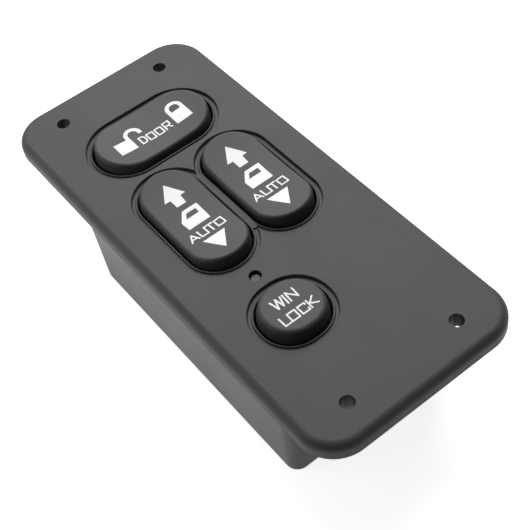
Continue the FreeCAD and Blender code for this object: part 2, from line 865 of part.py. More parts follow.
def housing_shell(inset, floor_z, neck_floor_z, high_z):
    """Outer form of the housing, or its cavity when inset: deep box and shallower neck."""
    half = housing_width / 2 - inset
    near = housing_near_y + inset
    corner = housing_corner_radius - inset
    profile = [
        Vector(-half, near, floor_z), Vector(-half, far_wall_y(floor_z) - inset, floor_z),
        Vector(-half, far_wall_y(high_z) - inset, high_z), Vector(-half, near, high_z)]
    deep = Part.Face(Part.makePolygon(profile + profile[:1])).extrude(Vector(2 * half, 0, 0))
    upright = [
        e for e in deep.Edges
        if e.BoundBox.XLength < tolerance and e.BoundBox.ZLength > tolerance
    ]
    deep = deep.makeFillet(corner, upright)
    neck_far = neck_far_y - inset
    neck = slab(neck_width - 2 * inset, neck_far, corner, neck_floor_z, high_z, (0, neck_far / 2))
    return deep, neck


def housing():
    """Open moulded box: deep part, neck, screw columns, connector opening and board ribs."""
    deep, neck = housing_shell(0, housing_foot_z, neck_foot_z, plate_under_z)
    deep = deep.makeChamfer(housing_foot_chamfer, edges_at(deep, housing_foot_z))
    body = join([deep, neck])
    cavity = join(list(housing_shell(
        housing_wall, housing_floor_z, neck_foot_z + housing_floor, plate_under_z)))
    body = body.cut(cavity)
    columns = []
    cuts = []
    for spot in column_spots:
        low = housing_foot_z if spot[1] < 0 else neck_foot_z
        columns.append(rod(column_diameter, low + housing_foot_chamfer, -column_top_drop, spot))
        cuts.append(rod(column_access_diameter, low, -column_seat_drop, spot))
        cuts.append(rod(housing_screw_hole_diameter, low, -column_top_drop, spot))
    body = join([body] + columns)
    mouth = slab(
        connector_length + 2 * connector_fit_gap, connector_width + 2 * connector_fit_gap,
        connector_corner_radius + connector_fit_gap, housing_foot_z, housing_floor_z,
        (connector_x, connector_y))
    return body.cut(Part.makeCompound(cuts + [mouth]))


def connector_header():
    """Shrouded header whose socket opens in the housing's floor, with keying ribs and a latch ramp."""
    spot = (connector_x, connector_y)
    body = slab(
        connector_length, connector_width, connector_corner_radius, housing_foot_z, board_under_z, spot)
    socket = slab(
        connector_length - 2 * connector_wall, connector_width - 2 * connector_wall, socket_corner_radius,
        housing_foot_z, board_under_z - connector_base, spot)
    body = body.cut(socket)
    wall_y = connector_y - connector_width / 2 + connector_wall
    keys = [
        block(
            (connector_x + x - connector_key_width / 2, connector_x + x + connector_key_width / 2),
            (wall_y, wall_y + connector_key_height),
            (housing_foot_z + connector_key_setback, board_under_z - connector_base))
        for x in (-terminal_pitch_x * 2, terminal_pitch_x)
    ]
    far_y = connector_y + connector_width / 2 - connector_wall
    latch_z = housing_floor_z + connector_latch_setback
    latch = block(
        (connector_x - connector_latch_width / 2, connector_x + connector_latch_width / 2),
        (far_y, far_y + connector_wall), (latch_z, latch_z + connector_latch_height))
    return join([body] + keys).cut(latch).cut(connector_terminals())


def terminal_spots():
    return [
        (
            connector_x + (column - (terminal_columns - 1) / 2) * terminal_pitch_x,
            connector_y + (row - (terminal_rows - 1) / 2) * terminal_pitch_y,
        )
        for row in range(terminal_rows)
        for column in range(terminal_columns)
    ]


def connector_terminals():
    """Square pins through the header and the board."""
    pins = []
    for x, y in terminal_spots():
        pin = square(terminal_size, -terminal_tip_drop, board_top_z + terminal_top, (x, y))
        pins.append(pin.makeChamfer(terminal_chamfer, edges_at(pin, -terminal_tip_drop)))
    return Part.makeCompound(pins)


def circuit_board():
    board = inner_plate(board_under_z, board_top_z)
    cuts = [
        rod(carrier_screw_hole_diameter, board_under_z, board_top_z, spot)
        for spot in carrier_screw_spots
    ]
    return board.cut(Part.makeCompound(cuts + [connector_terminals()]))


def relay(side):
    """Sealed relay hanging under the board."""
    low = board_under_z - relay_height
    case = slab(relay_width, relay_length, relay_corner_radius, low, board_under_z, (side * relay_x, relay_y))
    return case.makeChamfer(relay_foot_chamfer, edges_at(case, low))


def filter_capacitor():
    """Can capacitor hanging under the board, with the crimp groove round its can."""
    low = board_under_z - capacitor_height
    rim = capacitor_diameter / 2
    groove_z = board_under_z - capacitor_groove_drop
    half_groove = capacitor_groove_width / 2
    profile = [
        (0, low), (rim - capacitor_chamfer, low), (rim, low + capacitor_chamfer),
        (rim, groove_z - half_groove), (rim - capacitor_groove_depth, groove_z),
        (rim, groove_z + half_groove), (rim, board_under_z), (0, board_under_z)]
    return turned(profile, (capacitor_x, capacitor_y))


def control_chip():
    """Flat chip under the board with a row of legs on two sides."""
    body = square(chip_size, board_under_z - chip_height, board_under_z - chip_standoff, (0, chip_y))
    reach = chip_size / 2 + chip_leg_reach
    half_leg = chip_leg_width / 2
    legs = []
    for index in range(chip_leg_count):
        middle = chip_y + (index - (chip_leg_count - 1) / 2) * chip_leg_pitch
        legs.append(block(
            (-reach, reach), (middle - half_leg, middle + half_leg),
            (board_under_z - chip_leg_thickness, board_under_z)))
    return join([body] + legs)


def screw(diameter, seat_z, tip_z, spot):
    """Screw driven upwards."""
    shank = rod(diameter, seat_z, tip_z, spot)
    head = rod(screw_head_diameter, seat_z - screw_head_height, seat_z, spot)
    return join([shank, head])


def carrier_screws():
    return Part.makeCompound([
        screw(carrier_screw_diameter, board_under_z, carrier_top_z + carrier_screw_bite, spot)
        for spot in carrier_screw_spots
    ])


def housing_screws():
    return Part.makeCompound([
        screw(housing_screw_diameter, -column_seat_drop, housing_screw_bite - column_top_drop, spot)
        for spot in column_spots
    ])


def build_nodes():
    nodes = {
        "face_bezel": face_bezel(),
        "housing": housing(),
        "switch_carrier": switch_carrier(),
        "circuit_board": circuit_board(),
        "window_lock_button": window_lock_button(),
        "lock_switch_body": lock_switch_body(),
        "lock_switch_plunger": lock_switch_plunger(),
        "lock_return_spring": lock_return_spring(),
        "indicator_light_guide": indicator_light_guide(),
        "indicator_led": indicator_led(),
        "connector_header": connector_header(),
        "connector_terminals": connector_terminals(),
        "left_window_relay": relay(-1),
        "right_window_relay": relay(1),
        "filter_capacitor": filter_capacitor(),
        "control_chip": control_chip(),
        "carrier_screws": carrier_screws(),
        "housing_screws": housing_screws(),
    }
    key_names = {
        "door": "door_lock_rocker",
        "left_window": "left_window_rocker",
        "right_window": "right_window_rocker",
    }
    for name, place, length, width in rocker_places:
        nodes[key_names[name]] = place(rocker_key(length, width))
        nodes[name + "_pivot_pin"] = place(pivot_pin())
        nodes[name + "_contact_slider"] = place(contact_slider())
        nodes[name + "_contact_spring"] = place(contact_spring())
        nodes[name + "_detent_plunger"] = place(detent_plunger())
        nodes[name + "_detent_spring"] = place(detent_spring())
    return nodes


def main():
    os.makedirs("parts", exist_ok=True)
    for name, shape in build_nodes().items():
        shape.exportStep(os.path.join("parts", name + ".step"))
        print(f"{name}: {len(shape.Solids)} solid(s), {shape.Volume:.1f} mm3, valid {shape.isValid()}")


main()
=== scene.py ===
# %% [markdown]
# # A power window switch, modelled and dressed in Blender
# The solids of this switch were made elsewhere, at their real size. This lesson loads them as a fixed frame,
# models the pieces that show with soft, rounded edges, prints white signs on the keys, gives every surface
# its finish, and lights the part like a small product on a pale table.

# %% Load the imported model
import json
import math
import bpy
from mathutils import Matrix, Vector


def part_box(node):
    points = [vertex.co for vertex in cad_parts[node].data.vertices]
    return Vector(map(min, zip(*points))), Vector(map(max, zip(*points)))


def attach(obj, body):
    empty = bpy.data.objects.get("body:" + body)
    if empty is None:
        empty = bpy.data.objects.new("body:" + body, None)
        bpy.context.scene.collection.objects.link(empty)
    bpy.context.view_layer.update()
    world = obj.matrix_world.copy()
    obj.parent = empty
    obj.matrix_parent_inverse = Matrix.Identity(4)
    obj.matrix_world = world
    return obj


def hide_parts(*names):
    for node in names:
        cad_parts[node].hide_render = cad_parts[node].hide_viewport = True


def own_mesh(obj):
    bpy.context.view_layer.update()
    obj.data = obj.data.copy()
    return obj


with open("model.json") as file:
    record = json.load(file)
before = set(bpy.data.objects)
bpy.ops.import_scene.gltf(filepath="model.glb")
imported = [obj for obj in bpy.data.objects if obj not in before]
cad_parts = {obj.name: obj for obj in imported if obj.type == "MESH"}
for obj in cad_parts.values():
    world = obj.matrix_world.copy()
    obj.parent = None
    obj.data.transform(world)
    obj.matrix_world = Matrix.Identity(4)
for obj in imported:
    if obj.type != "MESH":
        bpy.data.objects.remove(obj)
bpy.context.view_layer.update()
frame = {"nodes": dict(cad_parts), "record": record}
nodes = frame["nodes"]
MM = 0.001
print("nodes loaded:", len(nodes))

# %% [markdown]
# ## The camera first
# The camera stands where the photographer stood: near the lower left corner of the panel, looking down at
# about 50 degrees, and rolled a little clockwise. A long lens keeps the far end of the panel nearly as wide
# as the near end. It is set first, because every later choice is judged through it.

# %% Camera
LENS_MM = 77.0
SENSOR_MM = 36.0
NEAR_CLIP = 0.01
CAMERA_PLACE = Vector((-96.2, -176.4, 225.7)) * MM
CAMERA_FORWARD = Vector((0.3148, 0.5522, -0.7720))
CAMERA_ROLL = math.radians(-10.45)

camera_data = bpy.data.cameras.new("camera")
camera_data.lens = LENS_MM
camera_data.sensor_width = SENSOR_MM
camera_data.clip_start = NEAR_CLIP
camera = bpy.data.objects.new("camera", camera_data)
bpy.context.scene.collection.objects.link(camera)
level = CAMERA_FORWARD.to_track_quat("-Z", "Y").to_matrix().to_4x4()
camera.matrix_world = Matrix.Translation(CAMERA_PLACE) @ level @ Matrix.Rotation(CAMERA_ROLL, 4, "Z")
bpy.context.scene.camera = camera
print("camera distance:", round(CAMERA_PLACE.length, 3), "m")

# %% [markdown]
# ## Sizes that the pieces share
# The sizes of the panel, its pockets and the keys are given here once, in millimetres. The panel's own size
# is read from the frame, so that the modelled piece can't drift away from the solid that it stands for.

# %% Shared sizes
panel_low, panel_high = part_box("face_bezel")
PANEL_SIZE = ((panel_high.x - panel_low.x) / MM, (panel_high.y - panel_low.y) / MM)
FACE_Z = panel_high.z / MM
PANEL_CORNER = 10.5
PANEL_EDGE = 2.4
PLATE_THICKNESS = 2.2
PLATE_UNDER = FACE_Z - PLATE_THICKNESS
SKIRT_WALL = 2.0
CUT_SPARE = 1.0

POCKET_DEPTH = 0.9
POCKET_LEDGE = 1.6
KEY_GAP = 0.4
KEY_INSET = POCKET_LEDGE + KEY_GAP
DOOR_POCKET = (40.8, 24.6)
DOOR_PLACE = (0.0, 41.9)
WINDOW_POCKET = (22.0, 43.2)
WINDOW_PITCH = 20.9
WINDOW_Y = 6.6
LEFT_PLACE = (-WINDOW_PITCH / 2, WINDOW_Y)
RIGHT_PLACE = (WINDOW_PITCH / 2, WINDOW_Y)
LOCK_POCKET = (22.5, 21.9)
LOCK_CORNER = 10.5
LOCK_PLACE = (-10.1, -34.7)
print("panel:", [round(side, 2) for side in PANEL_SIZE], "mm, face at", round(FACE_Z, 2), "mm")

# %% [markdown]
# ## Small helpers
# Operators act on whatever is selected, and the loaded solids are all selected. So every step starts by
# choosing one piece and nothing else, and faces or corners are then picked in code, by where they lie. A
# piece is put in its place by moving its mesh, so that the object itself stays at the origin.

# %% Choosing pieces and corners


def work_on(piece):
    """Leaves one piece selected and active, in object mode."""
    if bpy.context.object and bpy.context.object.mode != "OBJECT":
        bpy.ops.object.mode_set(mode="OBJECT")
    bpy.ops.object.select_all(action="DESELECT")
    piece.select_set(True)
    bpy.context.view_layer.objects.active = piece


def pick(piece, kind, wanted):
    """Selects the corners (VERT) or faces (FACE) of a piece that pass a test, and stays in edit mode."""
    work_on(piece)
    bpy.ops.object.mode_set(mode="EDIT")
    bpy.ops.mesh.select_mode(type=kind)
    bpy.ops.mesh.select_all(action="DESELECT")
    bpy.ops.object.mode_set(mode="OBJECT")
    parts = piece.data.vertices if kind == "VERT" else piece.data.polygons
    for part in parts:
        part.select = wanted(part)
    bpy.ops.object.mode_set(mode="EDIT")


# %% Fixing places and joining by booleans


def settle(piece):
    """Writes a piece's place, turn and scale into its mesh, so that its object sits at the origin."""
    work_on(piece)
    bpy.ops.object.transform_apply(location=True, rotation=True, scale=True)


def put_at(piece, place, z=0.0):
    """Moves a piece to a place in millimetres, and settles it there."""
    piece.location = (place[0] * MM, place[1] * MM, z * MM)
    settle(piece)


def combine(piece, tool, how):
    """Joins the tool to the piece, cuts it away or keeps what both share, and removes the tool."""
    work_on(piece)
    step = piece.modifiers.new("combine", "BOOLEAN")
    step.operation = how
    step.solver = "EXACT"
    step.object = tool
    bpy.ops.object.modifier_apply(modifier=step.name)
    bpy.data.objects.remove(tool, do_unlink=True)


# %% [markdown]
# ## Every outline is a circle pulled apart
# The keys, their pockets and the panel are all rectangles with round corners. A circle's four quarters, moved
# apart, give exactly that: the quarters stay round and straight sides open between them. The circle is turned
# by half a step, so that no corner lies on an axis and the straight sides come out true.

# %% Outlines
OUTLINE_POINTS = 96


def smaller(size, by):
    """Length and width of a rectangle that is moved inwards all round."""
    return [side - 2 * by for side in size]


def outline(name, size, corner, z):
    """Filled rectangle with round corners, about the origin at a height."""
    half_step = math.pi / OUTLINE_POINTS
    bpy.ops.object.select_all(action="DESELECT")
    bpy.ops.mesh.primitive_circle_add(
        vertices=OUTLINE_POINTS, radius=corner * MM / math.cos(half_step), fill_type="NGON",
        location=(0, 0, z * MM), rotation=(0, 0, half_step))
    piece = bpy.context.object
    piece.name = name
    settle(piece)
    for axis in (0, 1):
        reach = (size[axis] / 2 - corner) * MM
        for side in (-1, 1):
            if reach > 0:
                shift = [0.0, 0.0, 0.0]
                shift[axis] = side * reach
                pick(piece, "VERT", lambda corner_point: corner_point.co[axis] * side > 0)
                bpy.ops.transform.translate(value=shift)
                bpy.ops.object.mode_set(mode="OBJECT")
    return piece


# %% [markdown]
# ## One way to grow every moulding
# A moulded edge is a profile carried round an outline. Inset does this well: each step moves the top face
# inwards and up, and leaves a ring behind. A list of (inwards, height) points then draws a skirt, a slope
# and a true rounding, and the same list read downwards makes the tool that cuts a pocket.

# %% Growing a profile from an outline
HEIGHT_TOLERANCE = 1e-6


def grow(piece, profile, start_z):
    """Carries a flat outline through (inwards, z) points, upwards or downwards from its start."""
    last_inwards, last_z = profile[0]
    pick(piece, "FACE", lambda face: True)
    bpy.ops.mesh.extrude_region_move(TRANSFORM_OT_translate={"value": (0, 0, (last_z - start_z) * MM)})
    bpy.ops.mesh.select_all(action="SELECT")
    bpy.ops.mesh.normals_make_consistent(inside=False)
    pick(piece, "FACE", lambda face: abs(face.center.z - last_z * MM) < HEIGHT_TOLERANCE)
    downwards = -1 if last_z < start_z else 1
    for inwards, z in profile:
        if (inwards, z) != (last_inwards, last_z):
            bpy.ops.mesh.inset(
                thickness=(inwards - last_inwards) * MM, depth=(z - last_z) * downwards * MM,
                use_even_offset=True)
        last_inwards, last_z = inwards, z
    bpy.ops.mesh.select_all(action="SELECT")
    bpy.ops.mesh.normals_make_consistent(inside=False)
    bpy.ops.object.mode_set(mode="OBJECT")


def arc(centre, radius, start, end, steps):
    """Points of (inwards, z) along part of a circle; angles in degrees, 0 outwards and 90 up."""
    points = []
    for step in range(steps + 1):
        angle = math.radians(start + (end - start) * step / steps)
        points.append((centre[0] - radius * math.cos(angle), centre[1] + radius * math.sin(angle)))
    return points


# %% [markdown]
# ## The pockets
# Round each key the face has a soft edge, a narrow groove, a low rounded bead, and then the hole that the key
# stands in. Cut one by one, they would leave seams where they meet. So one tool is grown downwards from above
# the face, and cuts all of this in one go.

# %% Pocket tool
EDGE_ROUNDING = 0.3
GROOVE_WIDTH = 0.95
GROOVE_FILLET = 0.2
BEAD_DROP = 0.45
BEAD_ROUNDING = 0.28
HOLE_SPARE = 0.01
FINE_STEPS = 4
MOUTH_STEPS = 3
TOOL_TOP = FACE_Z + 2.0
TOOL_FOOT = -5.0


def pocket_profile():
    """From the face down the rounded edge, along the groove, over the bead and down to the hole."""
    floor_z = FACE_Z - POCKET_DEPTH
    bead_z = FACE_Z - BEAD_DROP - BEAD_ROUNDING
    edge = arc((-EDGE_ROUNDING, FACE_Z - EDGE_ROUNDING), EDGE_ROUNDING, 90, 180, FINE_STEPS)
    groove = [
        (HOLE_SPARE, floor_z + GROOVE_FILLET), (GROOVE_FILLET, floor_z),
        (GROOVE_WIDTH - HOLE_SPARE, floor_z)]
    outer = arc((GROOVE_WIDTH + BEAD_ROUNDING, bead_z), BEAD_ROUNDING, 0, 90, FINE_STEPS)
    inner = arc((POCKET_LEDGE - BEAD_ROUNDING, bead_z), BEAD_ROUNDING, 90, 180, FINE_STEPS)
    return edge + groove + outer + inner


def pocket_tool(size, corner, place):
    """Solid that leaves one pocket when it is cut from the panel."""
    profile = pocket_profile()
    first = profile[0][0]
    tool = outline("pocket_tool", smaller(size, first), corner - first, TOOL_TOP)
    steps = [(inwards - first, z) for inwards, z in profile]
    steps.append((POCKET_LEDGE - HOLE_SPARE - first, TOOL_FOOT))
    grow(tool, steps, TOOL_TOP)
    put_at(tool, place)
    return tool


def hole_tool(diameter, rounding, place):
    """Solid that leaves a round hole with a soft mouth."""
    size = diameter + 2 * rounding
    tool = outline("hole_tool", (size, size), size / 2, TOOL_TOP)
    mouth = arc((0.0, FACE_Z - rounding), rounding, 90, 180, MOUTH_STEPS)
    grow(tool, mouth + [(rounding, TOOL_FOOT)], TOOL_TOP)
    put_at(tool, place)
    return tool


print("pocket profile:", len(pocket_profile()), "points")

# %% [markdown]
# ## The face panel
# The real panel is one moulding: a flat face that rolls over into a short skirt. It could be a bevelled
# cube, but growing it from its outline gives the round corners and the rolled edge in one list of points.
# What hangs under the face, such as bosses and collars, is taken from the solid itself, so that its form is
# kept.

# %% Copying what lies inside a solid
MERGE_DISTANCE = 2e-6


def merged_copy(node, name):
    """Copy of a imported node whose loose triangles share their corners."""
    piece = bpy.data.objects.new(name, nodes[node].data.copy())
    bpy.context.scene.collection.objects.link(piece)
    pick(piece, "VERT", lambda point: True)
    bpy.ops.mesh.remove_doubles(threshold=MERGE_DISTANCE)
    bpy.ops.object.mode_set(mode="OBJECT")
    return piece


def inner_copy(node, keep_size, corner, place, low_z, high_z):
    """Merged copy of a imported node, kept only inside a round-cornered block."""
    piece = merged_copy(node, node + "_inner")
    piece.data.materials.clear()
    block = outline("keep", keep_size, corner, low_z)
    grow(block, [(0.0, high_z)], low_z)
    put_at(block, place)
    combine(piece, block, "INTERSECT")
    return piece


# %% Growing the panel
SKIRT_FOOT = 0.0
EDGE_STEPS = 9
SKIRT_FOOT_ROUNDING = 0.35
SKIRT_FOOT_STEPS = 3

panel = outline("face_panel", PANEL_SIZE, PANEL_CORNER, SKIRT_FOOT)
grow(panel, arc((PANEL_EDGE, FACE_Z - PANEL_EDGE), PANEL_EDGE, 0, 90, EDGE_STEPS), SKIRT_FOOT)
pick(panel, "FACE", lambda face: face.center.z < SKIRT_FOOT * MM + HEIGHT_TOLERANCE)
bpy.ops.mesh.bevel(offset=SKIRT_FOOT_ROUNDING * MM, segments=SKIRT_FOOT_STEPS, affect="EDGES")
bpy.ops.object.mode_set(mode="OBJECT")
hollow = outline(
    "hollow", smaller(PANEL_SIZE, SKIRT_WALL), PANEL_CORNER - SKIRT_WALL, SKIRT_FOOT - CUT_SPARE)
grow(hollow, [(0.0, PLATE_UNDER)], SKIRT_FOOT - CUT_SPARE)
combine(panel, hollow, "DIFFERENCE")
print("panel grown:", len(panel.data.polygons), "faces")

# %% Adding the underside and cutting the pockets
INNER_MARGIN = 1.0
INNER_OVERLAP = 0.15
FIXING_PITCH = (34.0, 126.5)
FIXING_HOLE = 3.8
INDICATOR_HOLE = 3.34
INDICATOR_PLACE = (-10.1, -19.5)
HOLE_ROUNDING = 0.13
STRIP_SIZE = (1.36, 26.4)
STRIP_CORNER = 0.6
STRIP_ROOT = 0.5

under = inner_copy(
    "face_bezel", smaller(PANEL_SIZE, INNER_MARGIN), PANEL_CORNER - INNER_MARGIN, (0, 0),
    panel_low.z / MM - CUT_SPARE, PLATE_UNDER + INNER_OVERLAP)
combine(panel, under, "UNION")
tools = [
    pocket_tool(DOOR_POCKET, DOOR_POCKET[1] / 2, DOOR_PLACE),
    pocket_tool(WINDOW_POCKET, WINDOW_POCKET[0] / 2, LEFT_PLACE),
    pocket_tool(WINDOW_POCKET, WINDOW_POCKET[0] / 2, RIGHT_PLACE),
    pocket_tool(LOCK_POCKET, LOCK_CORNER, LOCK_PLACE),
    hole_tool(INDICATOR_HOLE, HOLE_ROUNDING, INDICATOR_PLACE)]
for side_x in (-1, 1):
    for side_y in (-1, 1):
        spot = (side_x * FIXING_PITCH[0] / 2, side_y * FIXING_PITCH[1] / 2)
        tools.append(hole_tool(FIXING_HOLE, HOLE_ROUNDING, spot))
for tool in tools:
    combine(panel, tool, "DIFFERENCE")
strip_foot = FACE_Z - POCKET_DEPTH - STRIP_ROOT
strip = outline("strip", STRIP_SIZE, STRIP_CORNER, strip_foot)
grow(strip, [(0.0, FACE_Z - BEAD_DROP - HOLE_SPARE)], strip_foot)
put_at(strip, (0, WINDOW_Y))
combine(panel, strip, "UNION")
print("panel cut:", len(panel.data.polygons), "faces")

# %% [markdown]
# ## Shading a moulding
# Big flat faces beside fine roundings pick up false gradients when everything is shaded smooth. Two steps
# keep them clean: only soft corners are smoothed, and then each corner's normal is weighted by the area
# round it.

# %% Smooth shading
SMOOTH_ANGLE = math.radians(32)


def smooth(piece, angle=SMOOTH_ANGLE):
    """Smooth where the surface is round, crisp where it isn't, and flat where it is flat."""
    work_on(piece)
    bpy.ops.object.shade_smooth_by_angle(angle=angle, keep_sharp_edges=False)
    weigh = piece.modifiers.new("weigh", "WEIGHTED_NORMAL")
    weigh.keep_sharp = True
    bpy.ops.object.modifier_apply(modifier=weigh.name)


smooth(panel)
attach(panel, "base")
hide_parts("face_bezel")
print(panel.name, "shaded, and set on the base")

# %% [markdown]
# ## The keys
# Each key is a hollow cap: a short upright skirt, a sloped side and a soft rounding. A subdivided cube would
# swell at its corners, so the cap is grown from a profile, which keeps the rounding even. The rockers' tops
# dip along their length like a saddle: their caps are grown flat, cut across so that they can bend, and then
# lifted at their ends by a lattice, a cage of points that carries the mesh with it.

# %% Cap profile
KEY_FOOT = 0.4
KEY_DRAFT = math.tan(math.radians(3.5))
KEY_SLOPE = math.radians(15.0)
ROUNDING_STEPS = 7
SUPPORT_RING = 0.25
FOOT_RING = 0.05


def cap_profile(rise, rounding):
    """Skirt up to the face, slope above it and rounding of a cap, as (inwards, z) points."""
    at_face = (FACE_Z - KEY_FOOT) * KEY_DRAFT
    top = FACE_Z + rise
    run = at_face + (rise - rounding) * math.tan(KEY_SLOPE) + rounding / math.cos(KEY_SLOPE)
    points = [(0.0, KEY_FOOT + FOOT_RING), (at_face, FACE_Z)]
    points += arc((run, top - rounding), rounding, math.degrees(KEY_SLOPE), 90, ROUNDING_STEPS)
    points += [(run + SUPPORT_RING, top), (run + 3 * SUPPORT_RING, top)]
    return points


# %% Growing a cap
KEY_WALL = 1.35
HOLLOW_LEAN = 0.4
BEND_STEP = 1.6


def bend_cuts(piece, axis, length):
    """Cuts a cap or its signs across their length, so that their long faces can follow a curve."""
    count = int(length / BEND_STEP)
    pick(piece, "FACE", lambda face: True)
    for index in range(1, count):
        place = [0.0, 0.0, 0.0]
        place[axis] = (index / count - 0.5) * length * MM
        normal = [0.0, 0.0, 0.0]
        normal[axis] = 1.0
        bpy.ops.mesh.select_all(action="SELECT")
        bpy.ops.mesh.bisect(plane_co=place, plane_no=normal)
    bpy.ops.object.mode_set(mode="OBJECT")


def hollow_cap(name, size, corner, rise, rounding):
    """Cap about the origin, hollow from below."""
    cap = outline(name, size, corner, KEY_FOOT)
    grow(cap, cap_profile(rise, rounding), KEY_FOOT)
    hollow = outline("hollow", smaller(size, KEY_WALL), corner - KEY_WALL, KEY_FOOT - CUT_SPARE)
    grow(hollow, [(0.0, KEY_FOOT), (HOLLOW_LEAN, FACE_Z + rise - KEY_WALL)], KEY_FOOT - CUT_SPARE)
    combine(cap, hollow, "DIFFERENCE")
    print(name, "grown:", len(cap.data.polygons), "faces")
    return cap


# %% The lattice that lifts the ends
CROWN_RADIUS = 105.0
CAGE_POINTS = 21
CAGE_SPARE = 1.6


def lift_ends(pieces, axis, length, crown_z):
    """Lifts pieces towards their ends by the sagitta of the crown's circle; their foot stays level."""
    span = CAGE_SPARE * length
    height = crown_z - KEY_FOOT
    bpy.ops.object.select_all(action="DESELECT")
    bpy.ops.object.add(type="LATTICE", location=(0, 0, (KEY_FOOT + height / 2) * MM))
    cage = bpy.context.object
    cage.scale = [span * MM, span * MM, height * MM]
    cage.data.points_u = CAGE_POINTS if axis == 0 else 2
    cage.data.points_v = CAGE_POINTS if axis == 1 else 2
    cage.data.points_w = 2
    cage.data.interpolation_type_u = "KEY_BSPLINE" if axis == 0 else "KEY_LINEAR"
    cage.data.interpolation_type_v = "KEY_BSPLINE" if axis == 1 else "KEY_LINEAR"
    cage.data.interpolation_type_w = "KEY_LINEAR"
    for point in cage.data.points:
        if point.co[2] > 0:
            along = point.co[axis] * span
            lift = along ** 2 / (2 * CROWN_RADIUS)
            point.co_deform[2] += lift / height
            point.co_deform[axis] -= math.copysign(lift * math.tan(KEY_SLOPE) / span, along)
    bpy.context.view_layer.update()
    for piece in pieces:
        work_on(piece)
        step = piece.modifiers.new("lift", "LATTICE")
        step.object = cage
        bpy.ops.object.modifier_apply(modifier=step.name)
    bpy.data.objects.remove(cage, do_unlink=True)


# %% [markdown]
# ## White signs
# The signs on the keys are printed, a few hundredths of a millimetre thick. They could be painted on by a
# picture, but thin pieces stay sharp from close by. Words are drawn with a pen: every letter is a few
# strokes, and each straight piece of a stroke is a bar of its own, a little longer than the stroke, so that
# the corners close at full width. Filled signs are flat curves, where a loop inside another loop becomes a
# hole. They say only what a key does: door locks, window up and down.

# %% From a curve to a print
PRINT_HALF_THICKNESS = 0.025


def curve_to_print(curve, z, flatten=1.0):
    """Turns a curve into a mesh, pressed flat by a factor and laid at its height."""
    piece = bpy.data.objects.new(curve.name, curve)
    bpy.context.scene.collection.objects.link(piece)
    work_on(piece)
    bpy.ops.object.convert(target="MESH")
    piece = bpy.context.object
    piece.scale = (1, 1, flatten)
    put_at(piece, (0, 0), z)
    return piece


# %% Pen words
PEN = 0.5
PEN_END = 0.32
PEN_ROUNDNESS = 2
WORD_DOOR = [
    [(-5.15, -0.78), (-4.1, -0.78), (-3.5, -1.35), (-3.42, -2.8), (-3.85, -3.55), (-5.1, -3.6),
     (-5.15, -0.78)],
    [(-2.7, -1.1), (-0.75, -1.1), (-0.7, -3.75), (-2.6, -3.7), (-2.7, -1.1)],
    [(0.1, -1.08), (2.1, -1.08), (2.15, -3.75), (0.18, -3.78), (0.1, -1.08)],
    [(3.08, -3.65), (3.05, -0.75), (5.0, -0.72), (4.92, -2.25), (3.1, -2.4)],
    [(4.15, -2.4), (5.0, -3.55)]]
WORD_AUTO = [
    [(-5.75, -7.9), (-4.6, -5.35), (-3.3, -7.8)], [(-5.25, -7.1), (-3.75, -7.1)],
    [(-2.68, -5.3), (-2.48, -7.8), (-0.42, -7.8), (-0.5, -5.32)], [(-0.5, -5.3), (2.1, -5.25)],
    [(1.02, -5.3), (1.18, -7.85)],
    [(2.68, -5.33), (4.92, -5.22), (5.12, -7.7), (2.82, -7.76), (2.68, -5.33)]]
WORD_WIN = [
    [(-3.85, 3.9), (-3.17, 0.85), (-2.25, 3.85), (-1.65, 0.85), (-0.82, 3.8)], [(-0.15, 3.8), (-0.3, 0.78)],
    [(0.6, 0.78), (0.75, 3.8), (2.9, 0.98), (3.05, 3.9)]]
WORD_LOCK = [
    [(-5.17, -1.4), (-5.1, -4.2), (-3.1, -4.2)],
    [(-2.88, -1.65), (-0.66, -1.65), (-0.66, -4.2), (-2.95, -4.2), (-2.88, -1.65)],
    [(2.38, -2.15), (2.36, -1.65), (0.26, -1.65), (0.32, -4.2), (2.42, -4.2), (2.42, -3.45)],
    [(3.13, -1.45), (3.13, -4.15)], [(5.2, -1.25), (3.45, -2.7), (5.4, -3.9)]]


def pen_word(strokes, z):
    """Word drawn with a round pen and pressed flat, as one mesh."""
    curve = bpy.data.curves.new("word", "CURVE")
    curve.dimensions = "3D"
    curve.bevel_depth = PEN / 2 * MM
    curve.bevel_resolution = PEN_ROUNDNESS
    curve.use_fill_caps = True
    for stroke in strokes:
        for start, end in zip(stroke, stroke[1:]):
            start, end = Vector((*start, 0)), Vector((*end, 0))
            longer = (end - start).normalized() * PEN * PEN_END
            line = curve.splines.new("POLY")
            line.points.add(1)
            line.points[0].co = (*((start - longer) * MM), 1)
            line.points[1].co = (*((end + longer) * MM), 1)
    return curve_to_print(curve, z, 2 * PRINT_HALF_THICKNESS / PEN)


# %% Filled signs


def filled_sign(loops, z):
    """Flat sign from closed loops of points; a loop inside another is a hole."""
    curve = bpy.data.curves.new("sign", "CURVE")
    curve.dimensions = "2D"
    curve.fill_mode = "BOTH"
    curve.extrude = PRINT_HALF_THICKNESS * MM
    for loop in loops:
        line = curve.splines.new("POLY")
        line.points.add(len(loop) - 1)
        line.use_cyclic_u = True
        for point, (x, y) in zip(line.points, loop):
            point.co = (x * MM, y * MM, 0, 1)
    return curve_to_print(curve, z)


def join_prints(name, prints):
    """Joins the signs of one key into one piece."""
    work_on(prints[0])
    for other in prints[1:]:
        other.select_set(True)
    bpy.ops.object.join()
    piece = bpy.context.object
    piece.name = name
    return piece


def half_round(centre, radius, start, end, steps):
    """Points along part of a circle, in degrees from the right."""
    points = []
    for step in range(steps + 1):
        angle = math.radians(start + (end - start) * step / steps)
        points.append((centre[0] + radius * math.cos(angle), centre[1] + radius * math.sin(angle)))
    return points


